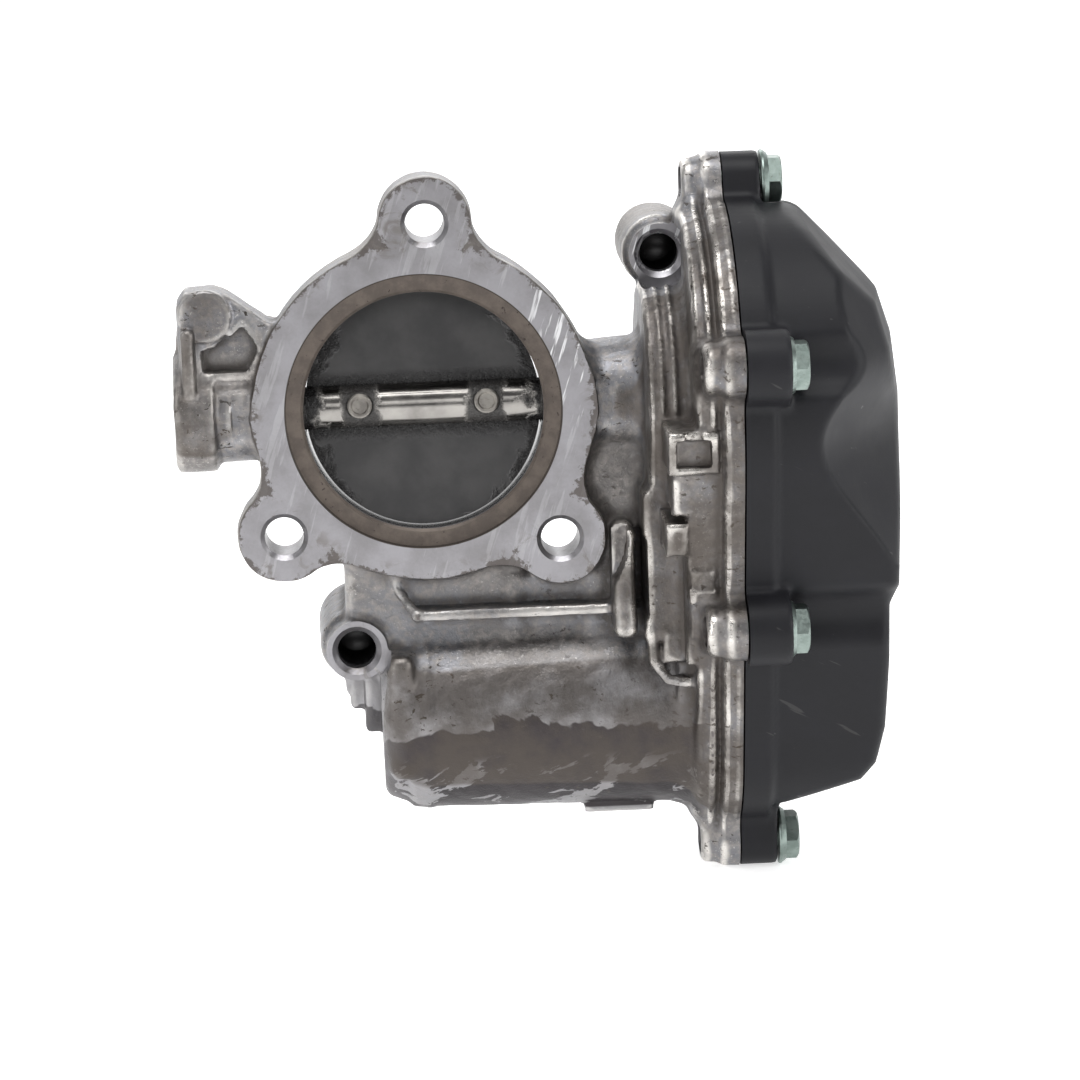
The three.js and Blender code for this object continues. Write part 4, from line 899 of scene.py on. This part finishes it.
class Finish:
    """A node material for a metal, plastic or rubber surface."""

    def __init__(self, name):
        self.material = bpy.data.materials.new(name)
        self.material.use_nodes = True
        self.tree = self.material.node_tree
        self.shader = self.tree.nodes["Principled BSDF"]
        self.place = self.tree.nodes.new("ShaderNodeTexCoord").outputs["Object"]

    def put(self, socket, value):
        if isinstance(value, bpy.types.NodeSocket):
            self.tree.links.new(value, socket)
        elif isinstance(value, tuple) and len(value) == 3 and socket.type == "RGBA":
            socket.default_value = (*value, 1)
        else:
            socket.default_value = value

    def math(self, operation, *values, clamp=False):
        node = self.tree.nodes.new("ShaderNodeMath")
        node.operation, node.use_clamp = operation, clamp
        for socket, value in zip(node.inputs, values):
            self.put(socket, value)
        return node.outputs[0]

    def mul(self, first, *others):
        for other in others:
            first = self.math("MULTIPLY", first, other)
        return first

    def add(self, a, b, clamp=False):
        return self.math("ADD", a, b, clamp=clamp)

    def sub(self, a, b, clamp=False):
        return self.math("SUBTRACT", a, b, clamp=clamp)

    def most(self, a, b):
        return self.math("MAXIMUM", a, b)

    def size(self, a):
        return self.math("ABSOLUTE", a)

    def reach(self, a, b):
        """Length of the line whose two sides are a and b."""
        return self.math("SQRT", self.add(self.mul(a, a), self.mul(b, b)))

    def axes(self):
        """Position in millimetres in the part's frame."""
        node = self.tree.nodes.new("ShaderNodeSeparateXYZ")
        self.put(node.inputs[0], self.place)
        return [self.mul(out, 1000.0) for out in node.outputs]

    def mapped(self, stretch, turn):
        """Position turned and then stretched, so that stretched noise runs along a turned line."""
        node = self.tree.nodes.new("ShaderNodeMapping")
        self.put(node.inputs["Vector"], self.place)
        node.vector_type = "TEXTURE"
        node.inputs["Scale"].default_value = [1 / s for s in stretch]
        node.inputs["Rotation"].default_value = [math.radians(a) for a in turn]
        return node.outputs[0]

    def noise(self, size, detail=4.0, rough=0.55, distort=0.0, stretch=None, turn=(0, 0, 0)):
        """Noise whose cells are about size millimetres."""
        node = self.tree.nodes.new("ShaderNodeTexNoise")
        self.put(node.inputs["Vector"], self.mapped(stretch, turn) if stretch else self.place)
        node.inputs["Scale"].default_value = 1000 / size
        node.inputs["Detail"].default_value = detail
        node.inputs["Roughness"].default_value = rough
        node.inputs["Distortion"].default_value = distort
        return node.outputs["Fac"]

    def band(self, value, low, high, start=0.0, end=1.0):
        """Smooth step from start to end while value goes from low to high."""
        node = self.tree.nodes.new("ShaderNodeMapRange")
        node.interpolation_type = "SMOOTHSTEP"
        for socket, v in zip(node.inputs, (value, low, high, start, end)):
            self.put(socket, v)
        return node.outputs[0]

    def mix(self, amount, a, b):
        node = self.tree.nodes.new("ShaderNodeMix")
        node.data_type = "RGBA"
        self.put(node.inputs["Factor"], amount)
        self.put(node.inputs[6], a)
        self.put(node.inputs[7], b)
        return node.outputs[2]

    def blend(self, amount, a, b):
        node = self.tree.nodes.new("ShaderNodeMix")
        self.put(node.inputs["Factor"], amount)
        self.put(node.inputs[2], a)
        self.put(node.inputs[3], b)
        return node.outputs[0]

    def kept(self, name):
        node = self.tree.nodes.new("ShaderNodeAttribute")
        node.attribute_name = name
        return node.outputs["Fac"]

    def bump(self, height, distance, strength=1.0, under=None):
        node = self.tree.nodes.new("ShaderNodeBump")
        node.inputs["Strength"].default_value = strength
        node.inputs["Distance"].default_value = distance / 1000
        self.put(node.inputs["Height"], height)
        if under is not None:
            self.put(node.inputs["Normal"], under)
        return node.outputs[0]

    def done(self, colour, rough, metal=None, normal=None, **fixed):
        self.put(self.shader.inputs["Base Color"], colour)
        self.put(self.shader.inputs["Roughness"], rough)
        if metal is not None:
            self.put(self.shader.inputs["Metallic"], metal)
        if normal is not None:
            self.put(self.shader.inputs["Normal"], normal)
        for name, value in fixed.items():
            self.shader.inputs[name.replace("_", " ")].default_value = value
        return self.material


FACE_Y = SHAFT_Y + INLET_Y                 # inlet face in the part's frame
TRACK_R = BORE_R + 3.25                    # outside of the gasket's track on it


def cast_aluminium():
    f = Finish("cast_aluminium")
    x, y, z = f.axes()
    hollow, proud = f.kept("hollow"), f.kept("proud")
    patch = f.noise(9, 5, 0.6)
    sand = f.noise(0.45, 3, 0.7)
    grain = f.noise(1.3, 4, 0.6)
    colour = f.mix(f.band(patch, 0.35, 0.68), (0.225, 0.213, 0.205), (0.155, 0.145, 0.138))
    colour = f.mix(f.band(f.noise(26, 2), 0.42, 0.58, 0.1, 0.9), colour, (0.205, 0.208, 0.224))
    colour = f.mix(f.band(grain, 0.40, 0.72), colour, (0.31, 0.29, 0.275))
    # painted highlight with some real wear on the proud corners, painted glints on the sand grain, grime with
    # painted shade in the hollows
    # proud corners painted pale: painted highlight, partly real wear
    wear_and_highlight = f.mul(f.band(proud, 0.04, 0.20), f.band(patch, 0.8, 0.4), f.band(x, 8, 40, 0.35, 1.0))
    colour = f.mix(wear_and_highlight, colour, (0.76, 0.73, 0.69))
    # painted glints of light on the sand grain, kept out of the hollows
    painted_glint = f.mul(f.band(sand, 0.60, 0.68), f.band(hollow, 0.12, -0.02))
    colour = f.mix(f.mul(painted_glint, 0.55), colour, (0.62, 0.60, 0.57))
    # hollows painted dark: painted shade in the recesses with real grime, plus grime in patches
    dirt = f.add(f.band(hollow, 0.04, 0.30), f.mul(f.band(patch, 0.55, 0.8), 0.2), clamp=True)
    dirt = f.mul(dirt, f.band(grain, 0.15, 0.55))
    colour = f.mix(f.mul(dirt, 0.8), colour, (0.046, 0.038, 0.033))
    # cleaner metal above the film
    clean = f.mul(f.band(z, MOTOR.z + 13, MOTOR.z + 9), f.band(x, PLATE_X - 2, PLATE_X - 5, 0, 0.7))
    colour = f.mix(clean, colour, (0.31, 0.305, 0.315))
    # oil film on the lower side of the motor barrel, scraped in places
    film = f.noise(16, 4, 0.65, 0.6)
    edge = f.add(z, f.mul(f.sub(film, 0.5), 15.0))
    wet = f.mul(f.band(edge, MOTOR.z + 1.1, MOTOR.z + 0.5), f.band(x, PLATE_X + 1, PLATE_X - 2),
                f.band(x, BARREL_X + 1.5, BARREL_X + 4.5, 0.75, 1.0))
    scrape = f.noise(5.5, 5, 0.6, 0.4, (0.3, 1, 1), (0, -36, 0))
    scraped = f.mul(f.band(scrape, 0.545, 0.565), f.band(z, MOTOR.z - 4.5, MOTOR.z - 7.5))
    wet = f.sub(wet, scraped, clamp=True)
    foot = f.mul(f.band(x, FOOT_X[0] - 0.4, FOOT_X[0]), f.band(x, FOOT_X[1] + 0.4, FOOT_X[1]),
                 f.band(z, MOTOR.z - BARREL_R + 0.9, MOTOR.z - BARREL_R + 0.5))
    wet = f.sub(wet, foot, clamp=True)
    oil = f.mix(f.band(patch, 0.35, 0.65), (0.038, 0.032, 0.035), (0.027, 0.023, 0.025))
    colour = f.mix(wet, colour, oil)
    # dark spots
    spot = f.band(f.noise(1.3, 5, 0.62, 0.5, (0.7, 1, 1)), 0.605, 0.65)
    many = f.most(f.band(f.noise(14, 3), 0.42, 0.62), f.band(x, TUB_X + 1, TUB_X + 5, 0, 0.85))
    colour = f.mix(f.mul(spot, many), colour, (0.055, 0.048, 0.043))
    # painted edge shadow along the edge of the inlet face, broken up by the patch noise
    line = f.mul(f.band(y, FACE_Y + 0.9, FACE_Y + 0.2), f.band(patch, 0.25, 0.6))
    colour = f.mix(f.mul(line, 0.75), colour, (0.075, 0.062, 0.052))
    rough = f.band(grain, 0.3, 0.7, 0.36, 0.52)
    rough = f.blend(wear_and_highlight, rough, 0.24)
    rough = f.blend(dirt, rough, 0.62)
    rough = f.blend(wet, rough, 0.44)
    metallic = f.blend(f.most(dirt, f.mul(wet, 0.7)), 0.92, 0.35)
    normal = f.bump(sand, 0.08, 0.9, f.bump(grain, 0.14, 0.8))
    return f.done(colour, rough, metallic, normal)


def machined_aluminium():
    f = Finish("machined_aluminium")
    x, y, z = f.axes()
    r = f.reach(x, z)
    on_face = f.band(y, FACE_Y + 1.6, FACE_Y + 1.2)
    patch = f.noise(8, 5, 0.6)
    fine = f.noise(0.5, 3, 0.6)
    colour = f.mix(f.band(patch, 0.35, 0.7), (0.31, 0.303, 0.318), (0.235, 0.228, 0.235))
    scratch = f.noise(1.4, 3, 0.6, 0.1, (1, 1, 0.09), (0, 18, 0))
    place = f.add(f.mul(f.band(x, 14, 24), f.band(z, -6, 6), 0.9), 0.12, clamp=True)
    colour = f.mix(f.mul(f.band(scratch, 0.56, 0.62), place), colour, (0.72, 0.72, 0.73))
    # grime along the edge of the inlet face, and stains on it
    edge = f.sub(r, FLANGE_R)
    for hole_x, hole_z in BOLTS:
        off = f.reach(f.sub(x, hole_x), f.sub(z, hole_z))
        edge = f.math("MINIMUM", edge, f.sub(off, EAR_R))
    ragged = f.add(edge, f.band(f.noise(1.7, 5, 0.7, 0.3), 0.3, 0.7, -0.9, 1.1))
    grime = f.mul(f.band(ragged, -0.5, 0.1), f.band(r, BORE_R + 5, BORE_R + 6), on_face)
    colour = f.mix(f.mul(grime, 0.8), colour, (0.085, 0.072, 0.064))
    stain = f.mul(f.band(f.noise(5, 5, 0.7, 0.8), 0.55, 0.68), f.band(r, BORE_R + 5, BORE_R + 9))
    colour = f.mix(f.mul(stain, 0.7), colour, (0.17, 0.155, 0.145))
    # brown gasket track round the bore, with a dark edge
    track = f.mul(f.band(r, TRACK_R + 0.1, TRACK_R - 0.1), on_face)
    brown = f.mix(f.band(f.noise(3, 5, 0.65), 0.35, 0.65), (0.122, 0.100, 0.084), (0.086, 0.070, 0.060))
    brown = f.mix(f.band(f.noise(0.9, 3, 0.6, 0.4), 0.66, 0.70), brown, (0.04, 0.03, 0.028))
    colour = f.mix(track, colour, brown)
    line = f.mul(f.band(f.size(f.sub(r, TRACK_R)), 0.22, 0.05), on_face)
    colour = f.mix(line, colour, (0.045, 0.036, 0.030))
    # soot inside the bore, and painted shade inside the two blind tubes
    inside = f.mul(f.band(r, BORE_R + 0.6, BORE_R + 0.2), f.band(y, FACE_Y + 1.0, FACE_Y + 2.6),
                   f.band(f.noise(2.2, 5, 0.65), 0.12, 0.36, 0.5, 1.0))
    colour = f.mix(inside, colour, (0.012, 0.011, 0.011))
    # the blind tubes' insides are painted near black as shade
    for tube in (RIGHT_TUBE, LOWER_TUBE):
        off = f.reach(f.sub(x, tube.x), f.sub(z, tube.z))
        mouth = SHAFT_Y + tube.front
        tube_shade = f.mul(f.band(off, TUBE_R + 0.4, TUBE_R + 0.1), f.band(y, mouth + 1, mouth + 5))
        colour = f.mix(tube_shade, colour, (0.014, 0.013, 0.013))
        inside = f.most(inside, tube_shade)
    rough = f.band(fine, 0.3, 0.7, 0.30, 0.40)
    rough = f.blend(track, rough, 0.50)
    rough = f.blend(inside, rough, 0.22)
    metallic = f.blend(f.most(f.mul(track, 0.6), inside), 0.95, 0.25)
    lay = f.noise(0.6, 2, 0.5, 0.0, (1, 1, 0.12), (0, 35, 0))
    normal = f.bump(lay, 0.015, 0.5, f.bump(f.noise(1.1, 4, 0.7), 0.10, 0.12))
    return f.done(colour, rough, metallic, normal)


def black_plastic():
    f = Finish("black_plastic")
    patch = f.noise(14, 4, 0.6)
    tone = (0.0085, 0.0085, 0.0105)
    colour = f.mix(f.band(patch, 0.35, 0.7), tone, tuple(v * 1.35 for v in tone))
    dust = f.mul(f.band(f.noise(0.9, 3, 0.7), 0.70, 0.76), f.band(f.noise(11, 3), 0.5, 0.68))
    colour = f.mix(f.mul(dust, 0.55), colour, (0.20, 0.19, 0.18))
    scratch = f.band(f.noise(2.2, 3, 0.6, 0.1, (0.10, 1, 1), (0, 28, 12)), 0.70, 0.73)
    colour = f.mix(f.mul(scratch, 0.35), colour, (0.07, 0.068, 0.066))
    rough = f.blend(scratch, f.band(patch, 0.3, 0.7, 0.46, 0.56), 0.35)
    normal = f.bump(f.noise(0.28, 2, 0.5), 0.018, 0.7, f.bump(f.noise(3.5, 3, 0.5), 0.05, 0.35))
    return f.done(colour, rough, 0.0, normal, Specular_IOR_Level=0.24)


def metal(name, light, dark, rough=(0.25, 0.4), lay=None, dirt=0.3, size=6, dirt_colour=(0.05, 0.043, 0.038)):
    """Machined, plated or rolled metal with a lay, patches and dirt."""
    f = Finish(name)
    patch = f.noise(size, 5, 0.6)
    colour = f.mix(f.band(patch, 0.35, 0.7), light, dark)
    grime = f.mul(f.band(f.noise(size / 3, 5, 0.7, 0.4), 0.56, 0.72), dirt)
    colour = f.mix(grime, colour, dirt_colour)
    fine = f.noise(0.5, 3, 0.6, 0, lay or (1, 1, 1))
    value = f.blend(grime, f.band(fine, 0.3, 0.7, *rough), 0.6)
    normal = f.bump(fine, 0.012, 0.5, f.bump(f.noise(size / 4, 3), 0.03, 0.4))
    return f.done(colour, value, f.blend(grime, 1.0, 0.4), normal)


def throttle_metal(name, light, dark, shaft):
    """Shaft or plate metal, with wet soot at the bore wall and at the plate screws' seats on the shaft, and
    on the plate a dark band along the shaft that is painted shadow with some soot.
    """
    f = Finish(name)
    x, _, z = f.axes()
    across = f.size(x)
    rag = f.mul(f.sub(f.noise(4.5, 5, 0.6, 0.4), 0.5), 12.0)
    side = f.band(across, 9.0, 19.0, 0.0, 3.2)
    wall = f.band(f.add(f.add(f.reach(x, z), side), rag), BORE_R - 0.4, BORE_R + 1.6)
    colour = f.mix(f.band(f.noise(9, 4), 0.35, 0.68), light, dark)
    fine = f.noise(0.6, 3, 0.6, 0, (0.15, 1, 1) if shaft else (1, 1, 1))
    if shaft:
        seat = f.add(f.size(f.sub(across, SCREW_X)), f.mul(rag, 0.35))
        inside = f.band(across, BORE_R + 0.6, BORE_R - 0.6)
        soot_and_shadow = f.mul(f.most(wall, f.mul(f.band(seat, 3.9, 2.7), 0.85)), inside)
        clean_rough, metallic = f.band(fine, 0.3, 0.7, 0.16, 0.26), 1.0
    else:
        # on the plate: painted shadow of the shaft in a band along it, with some soot, joined to the soot at
        # the bore wall
        soot_and_shadow = f.most(wall, f.band(f.size(z), 7.0, 4.0))
        clean_rough, metallic = f.band(fine, 0.3, 0.7, 0.34, 0.44), 0.75
    colour = f.mix(soot_and_shadow, colour, (0.011, 0.010, 0.010))
    drops = f.noise(0.9, 4, 0.7)
    rough = f.blend(soot_and_shadow, clean_rough, f.band(drops, 0.4, 0.6, 0.12, 0.5))
    normal = f.bump(f.mul(drops, soot_and_shadow), 0.45, 0.9, f.bump(fine, 0.01, 0.4))
    return f.done(colour, rough, f.blend(soot_and_shadow, metallic, 0.1), normal)


def soft(name, tone, rough=0.6):
    """Rubber or moulded plastic."""
    f = Finish(name)
    patch = f.noise(6, 4, 0.6)
    colour = f.mix(f.band(patch, 0.35, 0.7), tone, tuple(v * 0.7 for v in tone))
    colour = f.mix(f.mul(f.band(f.noise(1.5, 4, 0.7), 0.6, 0.75), 0.3), colour,
                   tuple(v * 0.4 for v in tone))
    normal = f.bump(f.noise(0.3, 2), 0.015, 0.6)
    return f.done(colour, f.band(patch, 0.3, 0.7, rough - 0.08, rough + 0.08), 0.0, normal)


# ---------------------------------------------------------------- build

SLOTS = {
    "cast_aluminium": cast_aluminium(),
    "machined_steel": metal("machined_steel", (0.60, 0.60, 0.61), (0.45, 0.45, 0.46), (0.18, 0.3), dirt=0.25),
    "plate_alloy": throttle_metal("plate_alloy", (0.088, 0.086, 0.086), (0.064, 0.063, 0.064), False),
    "zinc_screw": metal("zinc_screw", (0.29, 0.345, 0.32), (0.19, 0.235, 0.215), (0.28, 0.42), dirt=0.5,
                        size=3),
    "black_plastic": black_plastic(),
    "gear_plastic": soft("gear_plastic", (0.62, 0.58, 0.46), 0.45),
    "rubber": soft("rubber", (0.022, 0.022, 0.024), 0.7),
    "spring_steel": metal("spring_steel", (0.12, 0.115, 0.115), (0.07, 0.068, 0.068), (0.28, 0.4), dirt=0.4,
                          size=2),
    "motor_steel": metal("motor_steel", (0.46, 0.47, 0.48), (0.36, 0.37, 0.38), (0.3, 0.42), dirt=0.2),
    "magnet": metal("magnet", (0.10, 0.10, 0.105), (0.07, 0.07, 0.075), (0.5, 0.65), dirt=0.3, size=3),
    "copper": metal("copper", (0.66, 0.36, 0.20), (0.50, 0.26, 0.14), (0.22, 0.36), dirt=0.3, size=3),
    "brass": metal("brass", (0.62, 0.47, 0.20), (0.50, 0.37, 0.15), (0.22, 0.34), dirt=0.3, size=3),
    "board": soft("board", (0.020, 0.11, 0.045), 0.4),
}
SHAFT = throttle_metal("ground_shaft", (0.36, 0.345, 0.325), (0.20, 0.19, 0.18), True)
PLATE_SCREW = metal("plate_screw_steel", (0.36, 0.34, 0.31), (0.22, 0.205, 0.19), (0.3, 0.45), dirt=0.6,
                    size=2)

for entry in frame["record"]["subparts"]:
    for slot in frame["nodes"][entry["node"]].material_slots:
        slot.material = SLOTS[entry["material_slot"]]

casting, cast = housing()
points = points_of(casting)
# hollow feeds the painted shade with grime in recesses, proud the painted highlight with wear on corners
keep_value(casting, "hollow", -cast.cavity(points, 2.2))
keep_value(casting, "proud", cast.cavity(points, 1.0))
depth = cast.at(np.array([p.center for p in casting.data.polygons]))
finish_piece(casting, "housing_casting", "housing", "cast_aluminium", "throttle_housing",
             materials=[SLOTS["cast_aluminium"], machined_aluminium()])
for polygon, value in zip(casting.data.polygons, depth):
    polygon.material_index = int(value < -0.15)     # a face well inside the casting's skin was cut

finish_piece(cover(), "gear_cover_moulding", "housing", "black_plastic", "gear_cover")
for number, screw in enumerate(SCREWS, 1):
    finish_piece(cover_screw(screw), f"cover_screw_{number}_head", "housing", "zinc_screw",
                 f"cover_screw_{number}", 25)
finish_piece(throttle_shaft(), "throttle_shaft_ground", "throttle", "machined_steel", "throttle_shaft",
             materials=[SHAFT])
finish_piece(throttle_plate(), "throttle_plate_disc", "throttle", "plate_alloy", "throttle_plate")
for number, x in ((1, -SCREW_X), (2, SCREW_X)):
    finish_piece(plate_screw(x), f"plate_screw_{number}_turned", "throttle", "zinc_screw",
                 f"plate_screw_{number}", materials=[PLATE_SCREW])

low, high = node_box("bearing_end_plug")
plug = turned([(low.x + 0.5, 0), (low.x + 0.5, BEARING_R - 2.2), (low.x, BEARING_R - 1.6),
               (low.x, BEARING_R - 0.4), (low.x + 0.4, BEARING_R), (high.x, BEARING_R), (high.x, 0)], "x")
finish_piece(plug, "bearing_plug_pressed", "housing", "machined_steel", "bearing_end_plug")
seal = seal_ring(seal_low.y, seal_high.y, SEAL_R + GAP, seal_high.x, 0.4, 128)
finish_piece(seal, "manifold_seal_moulded", "housing", "rubber", "manifold_seal", 60)

coil = return_spring()
finish_piece(coil, "return_spring_coil", "housing", "spring_steel", "return_spring", 60)
coil.parent = None
low, high = node_box("return_spring")
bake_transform(coil)


# ---------------------------------------------------------------- floor, light and camera

def floor():
    f = Finish("studio_floor")
    tone = f.band(f.noise(60, 3), 0.3, 0.7, 0.84, 0.88)                # plain pale grey
    colour = f.tree.nodes.new("ShaderNodeCombineColor")
    for socket in colour.inputs[:3]:
        f.put(socket, tone)
    f.done(colour.outputs[0], 0.7)
    f.shader.inputs["Emission Color"].default_value = (1, 1, 1, 1)
    f.shader.inputs["Emission Strength"].default_value = 0.62
    z = cad_box[0][2]
    rows = [(-3, 0), (1.6, 0)] + [(1.6 + 0.9 * math.sin(a), 0.9 - 0.9 * math.cos(a))
                                  for a in np.radians(np.linspace(6, 84, 14))] + [(2.5, 0.9), (2.5, 5)]
    points = [(x, y, z + h) for y, h in rows for x in (-6, 6)]
    piece = new_piece(points, [(2 * i, 2 * i + 1, 2 * i + 3, 2 * i + 2) for i in range(len(rows) - 1)])
    piece.name = "studio_floor"
    piece.data.shade_smooth()
    piece.data.materials.append(f.material)


def area_light(name, place, target, size, power):
    data = bpy.data.lights.new(name, "AREA")
    data.shape, data.size, data.size_y, data.energy = "RECTANGLE", size[0], size[1], power
    light = bpy.data.objects.new(name, data)
    light.location = place
    light.rotation_euler = (Vector(target) - Vector(place)).to_track_quat("-Z", "Y").to_euler()
    bpy.context.scene.collection.objects.link(light)


def camera():
    azimuth, elevation, roll = (math.radians(v) for v in (-2.3, 12.0, 2.0))
    back = Vector((math.sin(azimuth) * math.cos(elevation), -math.cos(azimuth) * math.cos(elevation),
                   math.sin(elevation)))
    right = Vector((math.cos(azimuth), math.sin(azimuth), 0))
    up = back.cross(right)
    right, up = (right * math.cos(roll) - up * math.sin(roll), up * math.cos(roll) + right * math.sin(roll))
    data = bpy.data.cameras.new("camera")
    data.lens, data.sensor_width, data.clip_start, data.clip_end = 140, 36, 0.01, 40
    seen = bpy.data.objects.new("camera", data)
    turn = Matrix((right, up, back)).transposed().to_4x4()
    seen.matrix_world = Matrix.Translation((-0.0097, -0.7717, 0.1329)) @ turn
    bpy.context.scene.collection.objects.link(seen)
    bpy.context.scene.camera = seen


floor()
middle = (0.02, -0.02, -0.02)
area_light("top_light", (0.0, -0.25, 0.8), middle, (0.7, 0.45), 5.2)
area_light("left_light", (-0.8, -0.5, 0.35), middle, (0.35, 0.7), 2.6)
area_light("right_light", (0.9, -0.45, 0.3), middle, (0.3, 0.7), 4.6)
area_light("front_light", (-0.25, -1.4, 0.55), middle, (1.0, 0.5), 2.5)
area_light("rear_light", (0.0, 0.9, 0.6), middle, (1.2, 0.6), 4)
world = bpy.data.worlds.new("studio")
world.use_nodes = True
world.node_tree.nodes["Background"].inputs[0].default_value = (0.93, 0.94, 0.96, 1)
world.node_tree.nodes["Background"].inputs[1].default_value = 0.17
bpy.context.scene.world = world
bpy.context.scene.view_settings.view_transform = "Standard"
camera()
